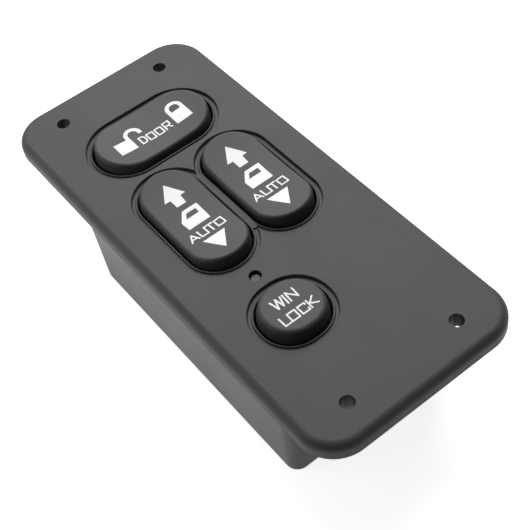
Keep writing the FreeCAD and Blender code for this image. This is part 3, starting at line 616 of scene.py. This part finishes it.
# %% [markdown]
# ## The door lock key
# It tips left and right: an open padlock on the left, a closed one on the right. The cap is dished along X.
# The hub, lever and tube under it are copied from the solid that it stands for, so that it turns on its pin.

# %% Stems under the rockers
STEM_LENGTH = 5.2
STEM_WIDTH = 11.6
STEM_FOOT = -13.0
STEM_CORNER = 0.5


def add_stem(cap, node, place, along, crown_z):
    """Joins the solid's own hub, lever and tube to a new cap."""
    size = (STEM_LENGTH, STEM_WIDTH) if along == 0 else (STEM_WIDTH, STEM_LENGTH)
    stem = inner_copy(node, size, STEM_CORNER, place, STEM_FOOT, crown_z - KEY_WALL / 2)
    combine(cap, stem, "UNION")


# %% Door key
ROCKER_RISE = 1.25
ROCKER_ROUNDING = 1.0
ROCKER_CROWN = FACE_Z + ROCKER_RISE
DOOR_KEY = smaller(DOOR_POCKET, KEY_INSET)
door_key = hollow_cap("door_key", DOOR_KEY, DOOR_KEY[1] / 2, ROCKER_RISE, ROCKER_ROUNDING)
bend_cuts(door_key, 0, DOOR_KEY[0])

# %% Padlock signs
PADLOCK_WIDTH = 5.5
PADLOCK_BODY = 4.8
PADLOCK_FOOT = -3.9
PADLOCK_TOP = PADLOCK_FOOT + PADLOCK_BODY
CLOSED_X = 9.35
OPEN_X = -9.7
SHACKLE_WIDTH = 1.2
BOW_NECK = 1.0
BOW_SPRING = 0.7
BOW_RADIUS = PADLOCK_WIDTH / 2
BOW_INNER_RADIUS = BOW_RADIUS - SHACKLE_WIDTH
BOW_STEPS = 16
BOW_INNER_STEPS = 12


def closed_padlock(x, z):
    """Body and bow in one outline, with the D-shaped opening of the bow as a hole."""
    left = x - BOW_RADIUS
    shoulder = PADLOCK_TOP + BOW_NECK
    outer = [(left, PADLOCK_FOOT), (left + PADLOCK_WIDTH, PADLOCK_FOOT)]
    outer += half_round((x, shoulder), BOW_RADIUS, 0, 180, BOW_STEPS)
    inner = [(x - BOW_INNER_RADIUS, PADLOCK_TOP), (x + BOW_INNER_RADIUS, PADLOCK_TOP)]
    inner += half_round((x, shoulder), BOW_INNER_RADIUS, 0, 180, BOW_INNER_STEPS)
    return filled_sign([outer, inner], z)


def open_padlock(x, z):
    """Body with the bow swung out to the right: one leg stands on the body's right end."""
    left = x - BOW_RADIUS
    right = x + BOW_RADIUS
    middle = (right + BOW_INNER_RADIUS, PADLOCK_TOP + BOW_SPRING)
    body = [(left, PADLOCK_FOOT), (right, PADLOCK_FOOT), (right, middle[1])]
    body += half_round(middle, BOW_INNER_RADIUS, 180, 0, BOW_INNER_STEPS)
    body += [(right + 2 * BOW_INNER_RADIUS, PADLOCK_TOP), (middle[0] + BOW_RADIUS, PADLOCK_TOP)]
    body += half_round(middle, BOW_RADIUS, 0, 180, BOW_STEPS)
    body += [(right - SHACKLE_WIDTH, PADLOCK_TOP), (left, PADLOCK_TOP)]
    return filled_sign([body], z)


# %% Signs on the door key
door_print = join_prints("door_key_signs", [
    closed_padlock(CLOSED_X, ROCKER_CROWN),
    open_padlock(OPEN_X, ROCKER_CROWN),
    pen_word(WORD_DOOR, ROCKER_CROWN)])
bend_cuts(door_print, 0, DOOR_KEY[0])
lift_ends([door_key, door_print], 0, DOOR_KEY[0], ROCKER_CROWN)
for piece in (door_key, door_print):
    put_at(piece, DOOR_PLACE)
add_stem(door_key, "door_lock_rocker", DOOR_PLACE, 0, ROCKER_CROWN)
smooth(door_key)
print("door key:", len(door_key.data.polygons), "faces")

# %% [markdown]
# ## The two window keys
# They are the same part twice, so one is modelled with its signs and copied. They tip fore and aft, so the
# dish runs along Y: an arrow up, a small door with its glass, the word AUTO, and an arrow down.

# %% Window keys
WINDOW_KEY = smaller(WINDOW_POCKET, KEY_INSET)
left_key = hollow_cap("left_window_key", WINDOW_KEY, WINDOW_KEY[0] / 2, ROCKER_RISE, ROCKER_ROUNDING)
bend_cuts(left_key, 1, WINDOW_KEY[1])

up_arrow = [
    (-0.05, 14.2), (-3.38, 8.45), (-1.58, 8.38), (-1.5, 5.36), (1.45, 5.36), (1.62, 8.38), (3.28, 8.5)]
down_arrow = [(-3.5, -9.4), (3.42, -9.4), (-0.1, -15.45)]
door_frame = [(-1.4, 3.35), (3.3, 3.35), (3.22, -3.3), (-3.6, -3.35), (-3.85, -0.1)]
door_glass = [(-0.95, 2.0), (2.02, 2.0), (1.98, 0.22), (-2.1, 0.22)]
left_print = join_prints("left_window_signs", [
    filled_sign([up_arrow], ROCKER_CROWN),
    filled_sign([door_frame, door_glass], ROCKER_CROWN),
    filled_sign([down_arrow], ROCKER_CROWN),
    pen_word(WORD_AUTO, ROCKER_CROWN)])
bend_cuts(left_print, 1, WINDOW_KEY[1])
lift_ends([left_key, left_print], 1, WINDOW_KEY[1], ROCKER_CROWN)
for piece in (left_key, left_print):
    put_at(piece, LEFT_PLACE)
add_stem(left_key, "left_window_rocker", LEFT_PLACE, 1, ROCKER_CROWN)
smooth(left_key)


def shifted_copy(piece, name, shift_x):
    """Second piece of the same moulding, with its own mesh, one pitch further."""
    copy = bpy.data.objects.new(name, piece.data.copy())
    bpy.context.scene.collection.objects.link(copy)
    put_at(copy, (shift_x, 0))
    return copy


right_key = shifted_copy(left_key, "right_window_key", WINDOW_PITCH)
right_print = shifted_copy(left_print, "right_window_signs", WINDOW_PITCH)
print("window key:", len(left_key.data.polygons), "faces")

# %% [markdown]
# ## The window lock button
# A nearly round push key with a fuller rounding than the rockers and a flat top that says WIN LOCK. It could
# be turned like a knob, but its outline has short straight sides, so it is grown like the other keys.

# %% Lock button
LOCK_RISE = 2.9
LOCK_ROUNDING = 1.3
LOCK_CROWN = FACE_Z + LOCK_RISE
LOCK_KEY = smaller(LOCK_POCKET, KEY_INSET)
POST_SIZE = (5.6, 5.6)
POST_CORNER = 0.2
POST_FOOT = -5.0
POST_DROP = 0.75 * KEY_WALL
lock_key = hollow_cap("window_lock_key", LOCK_KEY, LOCK_CORNER - KEY_INSET, LOCK_RISE, LOCK_ROUNDING)
lock_print = join_prints("window_lock_signs", [
    pen_word(WORD_WIN, LOCK_CROWN),
    pen_word(WORD_LOCK, LOCK_CROWN)])
for piece in (lock_key, lock_print):
    put_at(piece, LOCK_PLACE)
post = inner_copy("window_lock_button", POST_SIZE, POST_CORNER, LOCK_PLACE, POST_FOOT, LOCK_CROWN - POST_DROP)
combine(lock_key, post, "UNION")
smooth(lock_key)
print("lock key:", len(lock_key.data.polygons), "faces")

# %% Riding on the moving bodies
for piece, signs, body, node in (
        (door_key, door_print, "door_rocker", "door_lock_rocker"),
        (left_key, left_print, "left_rocker", "left_window_rocker"),
        (right_key, right_print, "right_rocker", "right_window_rocker"),
        (lock_key, lock_print, "lock_button", "window_lock_button")):
    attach(piece, body)
    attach(signs, body)
    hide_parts(node)
    print(piece.name, "rides on", body)

# %% [markdown]
# ## The housing
# The deep box below the panel has the right shape already, and only its edges are sharper than a moulding's.
# So it isn't modelled again: a copy of it gets its loose triangles merged and its flat faces made whole, and
# then a fine bevel softens its long edges.

# %% Housing with soft edges
HOUSING_BEVEL = 0.22
HOUSING_BEVEL_STEPS = 2
HOUSING_EDGE_ANGLE = math.radians(50)
HOUSING_FLAT_ANGLE = math.radians(0.6)
HOUSING_SMOOTH_ANGLE = math.radians(20)
housing_box = merged_copy("housing", "housing_box")
pick(housing_box, "VERT", lambda point: True)
bpy.ops.mesh.dissolve_limited(angle_limit=HOUSING_FLAT_ANGLE)
bpy.ops.object.mode_set(mode="OBJECT")
soften = housing_box.modifiers.new("soften", "BEVEL")
soften.width = HOUSING_BEVEL * MM
soften.segments = HOUSING_BEVEL_STEPS
soften.limit_method = "ANGLE"
soften.angle_limit = HOUSING_EDGE_ANGLE
bpy.ops.object.modifier_apply(modifier=soften.name)
smooth(housing_box, HOUSING_SMOOTH_ANGLE)
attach(housing_box, "base")
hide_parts("housing")
print("housing:", len(housing_box.data.polygons), "faces")

# %% [markdown]
# ## Springs
# The return spring under the lock key would come through its top if it kept its length while the key goes
# down. A coil could be wound again for every length, or a copy flattened over such a short way, but here each
# spring is only copied, with its loose triangles merged, shaded smooth and set to ride on its body, so it
# keeps its length.

# %% Springs
LOCK_SPRING_FOOT = -4.5
LOCK_TRAVEL = 2.2
DETENT_SPRING_TOP = -2.75
DETENT_TRAVEL = 0.4
SPRING_SMOOTH_ANGLE = math.radians(50)
STEEL_SPRINGS = (
    ("lock_return_spring", "base", "lock_button_press", LOCK_SPRING_FOOT, LOCK_TRAVEL),
    ("door_detent_spring", "door_rocker", "door_detent_press", DETENT_SPRING_TOP, DETENT_TRAVEL),
    ("left_window_detent_spring", "left_rocker", "left_detent_press", DETENT_SPRING_TOP, DETENT_TRAVEL),
    ("right_window_detent_spring", "right_rocker", "right_detent_press", DETENT_SPRING_TOP, DETENT_TRAVEL))
springs = []
for node, body, joint, fixed_z, travel in STEEL_SPRINGS:
    spring = merged_copy(node, node + "_wire")
    bpy.ops.object.shade_smooth_by_angle(angle=SPRING_SMOOTH_ANGLE, keep_sharp_edges=False)
    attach(spring, body)
    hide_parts(node)
    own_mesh(spring)
    springs.append(spring)

# %% [markdown]
# ## Effects that several finishes share
# A moulded surface is never one flat colour. It has a fine grain from the mould and soft cloudy differences
# in tone, and its edges carry a painted highlight: a lighter tone that stands in for light catching them.
# Each effect is built once, as a node group with named sockets, and every material uses it with its own
# values. A Mix node has a set of sockets for each kind of value, so those are found by number.

# %% Building node groups
MIX_FACTOR = 0
MIX_NUMBERS = (2, 3)
MIX_NUMBER_RESULT = 0
MIX_COLOURS = (6, 7)
MIX_COLOUR_RESULT = 2


def new_group(name, inputs, outputs):
    """Empty shader node group with named sockets; inputs carry a type and a default."""
    group = bpy.data.node_groups.new(name, "ShaderNodeTree")
    for socket_name, kind, value in inputs:
        socket = group.interface.new_socket(socket_name, in_out="INPUT", socket_type=kind)
        if value is not None:
            socket.default_value = value
    for socket_name, kind in outputs:
        group.interface.new_socket(socket_name, in_out="OUTPUT", socket_type=kind)
    return group, group.nodes.new("NodeGroupInput"), group.nodes.new("NodeGroupOutput")


def set_map(node, low, high, to_low=0.0, to_high=1.0):
    """Sets the four ends of a Map Range node."""
    ends = {"From Min": low, "From Max": high, "To Min": to_low, "To Max": to_high}
    for socket_name, value in ends.items():
        node.inputs[socket_name].default_value = value


# %% Mould grain
CELL_SHARE = 0.5
grain_group, grain_in, grain_out = new_group(
    "mould_grain",
    [("Vector", "NodeSocketVector", None), ("Grain Scale", "NodeSocketFloat", 2600.0)],
    [("Height", "NodeSocketFloat"), ("Speckle", "NodeSocketFloat")])
fine = grain_group.nodes.new("ShaderNodeTexNoise")
fine.inputs["Detail"].default_value = 3.0
fine.inputs["Roughness"].default_value = 0.6
cells = grain_group.nodes.new("ShaderNodeTexVoronoi")
cells.feature = "SMOOTH_F1"
blend = grain_group.nodes.new("ShaderNodeMath")
blend.operation = "MULTIPLY_ADD"
blend.inputs[1].default_value = CELL_SHARE
for texture in (fine, cells):
    grain_group.links.new(grain_in.outputs["Vector"], texture.inputs["Vector"])
    grain_group.links.new(grain_in.outputs["Grain Scale"], texture.inputs["Scale"])
grain_group.links.new(cells.outputs["Distance"], blend.inputs[0])
grain_group.links.new(fine.outputs["Fac"], blend.inputs[2])
grain_group.links.new(blend.outputs[0], grain_out.inputs["Height"])
grain_group.links.new(fine.outputs["Fac"], grain_out.inputs["Speckle"])
print("group made:", grain_group.name)

# %% Cloudy tone
CLOUD_CONTRAST = (0.32, 0.68)
cloud_group, cloud_in, cloud_out = new_group(
    "cloudy_tone",
    [("Vector", "NodeSocketVector", None), ("Cloud Scale", "NodeSocketFloat", 60.0),
     ("Speckle", "NodeSocketFloat", 0.5), ("Speckle Share", "NodeSocketFloat", 0.3)],
    [("Mask", "NodeSocketFloat")])
clouds = cloud_group.nodes.new("ShaderNodeTexNoise")
clouds.inputs["Detail"].default_value = 5.0
clouds.inputs["Distortion"].default_value = 0.4
mixer = cloud_group.nodes.new("ShaderNodeMix")
spread = cloud_group.nodes.new("ShaderNodeMapRange")
set_map(spread, *CLOUD_CONTRAST)
cloud_group.links.new(cloud_in.outputs["Vector"], clouds.inputs["Vector"])
cloud_group.links.new(cloud_in.outputs["Cloud Scale"], clouds.inputs["Scale"])
cloud_group.links.new(cloud_in.outputs["Speckle Share"], mixer.inputs[MIX_FACTOR])
cloud_group.links.new(clouds.outputs["Fac"], mixer.inputs[MIX_NUMBERS[0]])
cloud_group.links.new(cloud_in.outputs["Speckle"], mixer.inputs[MIX_NUMBERS[1]])
cloud_group.links.new(mixer.outputs[MIX_NUMBER_RESULT], spread.inputs["Value"])
cloud_group.links.new(spread.outputs["Result"], cloud_out.inputs["Mask"])
print("group made:", cloud_group.name)

# %% Painted edge highlight
EDGE_SAMPLES = 4
EDGE_BEND = (0.995, 0.9)
# Painted highlight: a mask of the edges that the Bevel node finds, broken up by the cloudy tone, so that a
# lighter colour lies where light would catch them.
edge_group, edge_in, edge_out = new_group(
    "painted_edge_highlight",
    [("Radius", "NodeSocketFloat", 0.0006), ("Break Up", "NodeSocketFloat", 0.5)],
    [("Mask", "NodeSocketFloat")])
rounded = edge_group.nodes.new("ShaderNodeBevel")
rounded.samples = EDGE_SAMPLES
surface = edge_group.nodes.new("ShaderNodeNewGeometry")
agreement = edge_group.nodes.new("ShaderNodeVectorMath")
agreement.operation = "DOT_PRODUCT"
turn = edge_group.nodes.new("ShaderNodeMapRange")
set_map(turn, *EDGE_BEND)
broken = edge_group.nodes.new("ShaderNodeMath")
broken.operation = "MULTIPLY"
edge_group.links.new(edge_in.outputs["Radius"], rounded.inputs["Radius"])
edge_group.links.new(rounded.outputs["Normal"], agreement.inputs[0])
edge_group.links.new(surface.outputs["Normal"], agreement.inputs[1])
edge_group.links.new(agreement.outputs["Value"], turn.inputs["Value"])
edge_group.links.new(turn.outputs["Result"], broken.inputs[0])
edge_group.links.new(edge_in.outputs["Break Up"], broken.inputs[1])
edge_group.links.new(broken.outputs[0], edge_out.inputs["Mask"])
print("group made:", edge_group.name)

# %% Drawn lines in metal
LINE_STRETCH = (1.0, 1.0, 0.06)
LINE_CONTRAST = (0.35, 0.65)
line_group, line_in, line_out = new_group(
    "drawn_lines",
    [("Vector", "NodeSocketVector", None), ("Line Scale", "NodeSocketFloat", 900.0)],
    [("Height", "NodeSocketFloat"), ("Mask", "NodeSocketFloat")])
stretch = line_group.nodes.new("ShaderNodeMapping")
stretch.inputs["Scale"].default_value = LINE_STRETCH
lines = line_group.nodes.new("ShaderNodeTexNoise")
lines.inputs["Detail"].default_value = 4.0
sharpen = line_group.nodes.new("ShaderNodeMapRange")
set_map(sharpen, *LINE_CONTRAST)
line_group.links.new(line_in.outputs["Vector"], stretch.inputs["Vector"])
line_group.links.new(stretch.outputs["Vector"], lines.inputs["Vector"])
line_group.links.new(line_in.outputs["Line Scale"], lines.inputs["Scale"])
line_group.links.new(lines.outputs["Fac"], line_out.inputs["Height"])
line_group.links.new(lines.outputs["Fac"], sharpen.inputs["Value"])
line_group.links.new(sharpen.outputs["Result"], line_out.inputs["Mask"])
print("group made:", line_group.name)

# %% [markdown]
# ## Moulded plastics
# One recipe makes every plastic of the switch. Two close tones are mixed by the cloudy mask, a third, lighter
# tone on the edges is a painted highlight, the roughness follows the same mask, and the grain goes into the
# bump.

# %% Parts that every material uses


def new_material(name):
    """New material, with its node tree and its shader."""
    material = bpy.data.materials.new(name)
    material.use_nodes = True
    return material, material.node_tree, material.node_tree.nodes["Principled BSDF"]


def add_group(tree, group, values):
    """Places a node group in a material with its own values."""
    node = tree.nodes.new("ShaderNodeGroup")
    node.node_tree = group
    for socket_name, value in values.items():
        node.inputs[socket_name].default_value = value
    return node


def grey(level, warmth=0.0):
    """Grey with a slight warm (positive) or cool (negative) cast."""
    return (level * (1 + warmth), level, level * (1 - warmth), 1.0)


def add_mix(tree, factor, low, high):
    """Colour mix; each end is a colour, or the output of another node."""
    node = tree.nodes.new("ShaderNodeMix")
    node.data_type = "RGBA"
    tree.links.new(factor, node.inputs[MIX_FACTOR])
    for number, value in zip(MIX_COLOURS, (low, high)):
        if isinstance(value, tuple):
            node.inputs[number].default_value = value
        else:
            tree.links.new(value, node.inputs[number])
    return node.outputs[MIX_COLOUR_RESULT]


def add_shine(tree, shader, mask, roughness):
    """Lets the roughness follow a mask, from its low to its high value."""
    shine = tree.nodes.new("ShaderNodeMapRange")
    set_map(shine, 0.0, 1.0, *roughness)
    tree.links.new(mask, shine.inputs["Value"])
    tree.links.new(shine.outputs["Result"], shader.inputs["Roughness"])


def add_bump(tree, shader, height, strength, depth):
    """Presses a height into the surface, with its depth in millimetres."""
    bump = tree.nodes.new("ShaderNodeBump")
    bump.inputs["Strength"].default_value = strength
    bump.inputs["Distance"].default_value = depth * MM
    tree.links.new(height, bump.inputs["Height"])
    tree.links.new(bump.outputs["Normal"], shader.inputs["Normal"])


# %% Plastic recipe
GRAIN_STRENGTH = 0.35


def plastic(name, dark, light, edge, roughness, grain_scale, grain_depth, cloud_scale=60.0, speckle=0.3):
    """Moulded plastic from two tones, an edge tone that is a painted highlight, a (low, high) roughness and
    its grain.
    """
    material, tree, shader = new_material(name)
    place = tree.nodes.new("ShaderNodeTexCoord").outputs["Object"]
    grain = add_group(tree, grain_group, {"Grain Scale": grain_scale})
    cloud = add_group(tree, cloud_group, {"Cloud Scale": cloud_scale, "Speckle Share": speckle})
    # The edge tone is a painted highlight, laid on the edges through this mask.
    painted_highlight = add_group(tree, edge_group, {})
    tree.links.new(place, grain.inputs["Vector"])
    tree.links.new(place, cloud.inputs["Vector"])
    tree.links.new(grain.outputs["Speckle"], cloud.inputs["Speckle"])
    tree.links.new(cloud.outputs["Mask"], painted_highlight.inputs["Break Up"])
    body = add_mix(tree, cloud.outputs["Mask"], dark, light)
    tree.links.new(add_mix(tree, painted_highlight.outputs["Mask"], body, edge), shader.inputs["Base Color"])
    add_shine(tree, shader, cloud.outputs["Mask"], roughness)
    add_bump(tree, shader, grain.outputs["Height"], GRAIN_STRENGTH, grain_depth)
    print("plastic made:", name)
    return material


# %% The plastics
DULL_SPECULAR = 0.3
# The third tone of each plastic is its painted edge highlight.
panel_finish = plastic(
    "panel_black", grey(0.053), grey(0.069), grey(0.073), roughness=(0.54, 0.66),
    grain_scale=1900.0, grain_depth=0.045, cloud_scale=50.0, speckle=0.45)
key_finish = plastic(
    "key_black", grey(0.053), grey(0.073), grey(0.077), roughness=(0.5, 0.62),
    grain_scale=2000.0, grain_depth=0.04, cloud_scale=90.0, speckle=0.45)
housing_finish = plastic(
    "housing_black", grey(0.08), grey(0.096), grey(0.105), roughness=(0.44, 0.58),
    grain_scale=1500.0, grain_depth=0.035, cloud_scale=45.0, speckle=0.4)
carrier_finish = plastic(
    "carrier_black", grey(0.034), grey(0.044), grey(0.055), roughness=(0.4, 0.55),
    grain_scale=1500.0, grain_depth=0.03)
relay_finish = plastic(
    "relay_black", grey(0.045, -0.04), grey(0.056, -0.04), grey(0.07, -0.04), roughness=(0.28, 0.4),
    grain_scale=1800.0, grain_depth=0.015)
white_finish = plastic(
    "slider_white", grey(0.74, 0.02), grey(0.8, 0.02), grey(0.83, 0.02), roughness=(0.32, 0.44),
    grain_scale=1800.0, grain_depth=0.015)
print_finish = plastic(
    "sign_white", grey(0.93), grey(0.97), grey(0.97), roughness=(0.5, 0.6),
    grain_scale=3600.0, grain_depth=0.01, cloud_scale=400.0, speckle=0.5)
for finish in (panel_finish, key_finish, print_finish):
    finish.node_tree.nodes["Principled BSDF"].inputs["Specular IOR Level"].default_value = DULL_SPECULAR

# %% [markdown]
# ## Metals
# Brass, steel and aluminium mirror what is round them, as no grey plastic does, so they are fully metallic.
# What differs is the colour, how bright the surface is, and the scale of the marks that making it has left:
# drawn lines, with a cloudy tone over them.

# %% Metal recipe
METAL_CLOUDS = {"Cloud Scale": 300.0, "Speckle Share": 0.5}
LINE_STRENGTH = 0.25


def metal(name, dark, light, roughness, line_scale, line_depth):
    """Metal from two tones, a (low, high) roughness and its drawn lines."""
    material, tree, shader = new_material(name)
    shader.inputs["Metallic"].default_value = 1.0
    place = tree.nodes.new("ShaderNodeTexCoord").outputs["Object"]
    drawn = add_group(tree, line_group, {"Line Scale": line_scale})
    cloud = add_group(tree, cloud_group, METAL_CLOUDS)
    tree.links.new(place, drawn.inputs["Vector"])
    tree.links.new(place, cloud.inputs["Vector"])
    tree.links.new(drawn.outputs["Mask"], cloud.inputs["Speckle"])
    tree.links.new(add_mix(tree, cloud.outputs["Mask"], dark, light), shader.inputs["Base Color"])
    add_shine(tree, shader, drawn.outputs["Mask"], roughness)
    add_bump(tree, shader, drawn.outputs["Height"], LINE_STRENGTH, line_depth)
    print("metal made:", name)
    return material


# %% The metals
BRASS_DARK = (0.66, 0.48, 0.2, 1.0)
BRASS_LIGHT = (0.78, 0.62, 0.32, 1.0)
brass_finish = metal(
    "contact_brass", BRASS_DARK, BRASS_LIGHT, roughness=(0.2, 0.36), line_scale=900.0, line_depth=0.01)
spring_finish = metal(
    "spring_steel", grey(0.52), grey(0.64), roughness=(0.2, 0.34), line_scale=1200.0, line_depth=0.008)
screw_finish = metal(
    "screw_zinc", grey(0.48, -0.03), grey(0.62, 0.02), roughness=(0.26, 0.42), line_scale=700.0,
    line_depth=0.01)
can_finish = metal(
    "can_aluminium", grey(0.64), grey(0.74), roughness=(0.22, 0.34), line_scale=1000.0, line_depth=0.008)

# %% [markdown]
# ## The board and the lens
# The circuit board is green laminate with paler tracks under its lacquer. So little of it shows that tracks
# drawn one by one would be lost, and the borders of a coarse net of cells stand for them. The indicator is a
# smoky, slightly frosted plug, so light goes some way in.

# %% Board laminate
BOARD_DARK = (0.02, 0.17, 0.065, 1.0)
BOARD_LIGHT = (0.03, 0.22, 0.085, 1.0)
TRACK_GREEN = (0.06, 0.34, 0.14, 1.0)
TRACK_EDGE = (0.1, 0.14)
board_finish, tree, shader = new_material("board_green")
shader.inputs["Coat Weight"].default_value = 0.4
place = tree.nodes.new("ShaderNodeTexCoord").outputs["Object"]
tracks = tree.nodes.new("ShaderNodeTexVoronoi")
tracks.feature = "DISTANCE_TO_EDGE"
tracks.inputs["Scale"].default_value = 420.0
tracks.inputs["Randomness"].default_value = 0.7
track_mask = tree.nodes.new("ShaderNodeMapRange")
set_map(track_mask, *TRACK_EDGE, to_low=1.0, to_high=0.0)
cloud = add_group(tree, cloud_group, {"Cloud Scale": 140.0, "Speckle Share": 0.0})
tree.links.new(place, tracks.inputs["Vector"])
tree.links.new(place, cloud.inputs["Vector"])
tree.links.new(tracks.outputs["Distance"], track_mask.inputs["Value"])
laminate = add_mix(tree, cloud.outputs["Mask"], BOARD_DARK, BOARD_LIGHT)
tracked = add_mix(tree, track_mask.outputs["Result"], laminate, TRACK_GREEN)
tree.links.new(tracked, shader.inputs["Base Color"])
add_shine(tree, shader, cloud.outputs["Mask"], roughness=(0.3, 0.42))
print("board finish made")

# %% Smoky lens
lens_finish, tree, shader = new_material("lens_smoky")
shader.inputs["Transmission Weight"].default_value = 0.35
shader.inputs["IOR"].default_value = 1.49
shader.inputs["Specular IOR Level"].default_value = DULL_SPECULAR
place = tree.nodes.new("ShaderNodeTexCoord").outputs["Object"]
grain = add_group(tree, grain_group, {"Grain Scale": 1400.0})
cloud = add_group(tree, cloud_group, {"Cloud Scale": 900.0, "Speckle Share": 0.4})
tree.links.new(place, grain.inputs["Vector"])
tree.links.new(place, cloud.inputs["Vector"])
tree.links.new(grain.outputs["Speckle"], cloud.inputs["Speckle"])
tree.links.new(add_mix(tree, cloud.outputs["Mask"], grey(0.06), grey(0.17)), shader.inputs["Base Color"])
add_shine(tree, shader, cloud.outputs["Mask"], roughness=(0.42, 0.6))
add_bump(tree, shader, grain.outputs["Height"], strength=0.5, depth=0.05)
print("lens finish made")

# %% [markdown]
# ## Giving every piece its finish
# The record names a material slot for each solid, so the solids that stay in view inside the housing get the
# finish of their slot. The new pieces are given theirs in a list.

# %% Finishes by slot
SLOT_FINISH = {
    "panel_plastic": panel_finish, "key_plastic": key_finish, "housing_plastic": housing_finish,
    "carrier_plastic": carrier_finish, "white_plastic": white_finish, "clear_plastic": lens_finish,
    "relay_plastic": relay_finish, "board_laminate": board_finish, "contact_brass": brass_finish,
    "spring_steel": spring_finish, "screw_steel": screw_finish, "can_aluminium": can_finish}
NEW_PIECES = (
    (panel_finish, [panel]), (housing_finish, [housing_box]),
    (key_finish, [door_key, left_key, right_key, lock_key]),
    (print_finish, [door_print, left_print, right_print, lock_print]), (spring_finish, springs))


def finish_with(piece, material):
    """Gives one material to a whole piece."""
    piece.data.materials.clear()
    piece.data.materials.append(material)


for entry in frame["record"]["subparts"]:
    finish_with(nodes[entry["node"]], SLOT_FINISH[entry["material_slot"]])
for material, pieces in NEW_PIECES:
    for piece in pieces:
        finish_with(piece, material)
    print(material.name, "given to", [piece.name for piece in pieces])

# %% [markdown]
# ## The table and the lights
# The photograph has a pure white table. The table here is pale, keeps the part's shadow, and looks white to
# the camera, in mirrors and through clear plastic. A large lamp high behind the part draws the soft light on
# its top. The walls of the housing are lit from below, by light that comes back from the table, so a second
# lamp hangs low to the left and shines down on the table only.

# %% Table
TABLE_SIZE = 24.0
TABLE_TONE = 0.85
TABLE_GLOW = 0.85
floor_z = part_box("housing")[0].z
bpy.ops.object.select_all(action="DESELECT")
bpy.ops.mesh.primitive_plane_add(size=TABLE_SIZE, location=(0, 0, floor_z))
floor = bpy.context.object
floor.name = "floor"
settle(floor)
floor_finish, tree, shader = new_material("table_white")
shader.inputs["Base Color"].default_value = grey(TABLE_TONE)
shader.inputs["Roughness"].default_value = 0.9
shader.inputs["Emission Color"].default_value = grey(1.0)
light_path = tree.nodes.new("ShaderNodeLightPath")
seen = tree.nodes.new("ShaderNodeMath")
seen.operation = "ADD"
seen_through = tree.nodes.new("ShaderNodeMath")
seen_through.operation = "ADD"
glow = tree.nodes.new("ShaderNodeMath")
glow.operation = "MULTIPLY"
glow.inputs[1].default_value = TABLE_GLOW
tree.links.new(light_path.outputs["Is Camera Ray"], seen.inputs[0])
tree.links.new(light_path.outputs["Is Glossy Ray"], seen.inputs[1])
tree.links.new(seen.outputs[0], seen_through.inputs[0])
tree.links.new(light_path.outputs["Is Transmission Ray"], seen_through.inputs[1])
tree.links.new(seen_through.outputs[0], glow.inputs[0])
tree.links.new(glow.outputs[0], shader.inputs["Emission Strength"])
finish_with(floor, floor_finish)
print("table at", round(floor_z / MM, 2), "mm")

# %% World and lamps
WORLD_STRENGTH = 0.07
world = bpy.data.worlds.new("studio")
bpy.context.scene.world = world
world.use_nodes = True
background = world.node_tree.nodes["Background"]
background.inputs["Color"].default_value = grey(1.0)
background.inputs["Strength"].default_value = WORLD_STRENGTH


def soft_lamp(name, place, aim, size, watts):
    """Rectangular soft lamp that looks at a point."""
    data = bpy.data.lights.new(name, "AREA")
    data.shape = "RECTANGLE"
    data.size, data.size_y = size
    data.energy = watts
    lamp = bpy.data.objects.new(name, data)
    bpy.context.scene.collection.objects.link(lamp)
    lamp.location = place
    lamp.rotation_mode = "QUATERNION"
    lamp.rotation_quaternion = (Vector(aim) - Vector(place)).to_track_quat("-Z", "Y")
    lamp.visible_camera = False
    return lamp


lamps = [
    soft_lamp("back_softbox", place=(0.42, 0.55, 0.75), aim=(0, 0, 0), size=(0.9, 0.9), watts=14.8),
    soft_lamp("table_lamp", place=(-0.26, 0.17, 0.06), aim=(-0.26, 0.17, -1.0), size=(0.3, 0.36), watts=0.6)]
print("lamps set:", len(lamps))

# %% Sizes and finish
bpy.context.scene.view_settings.view_transform = "Standard"
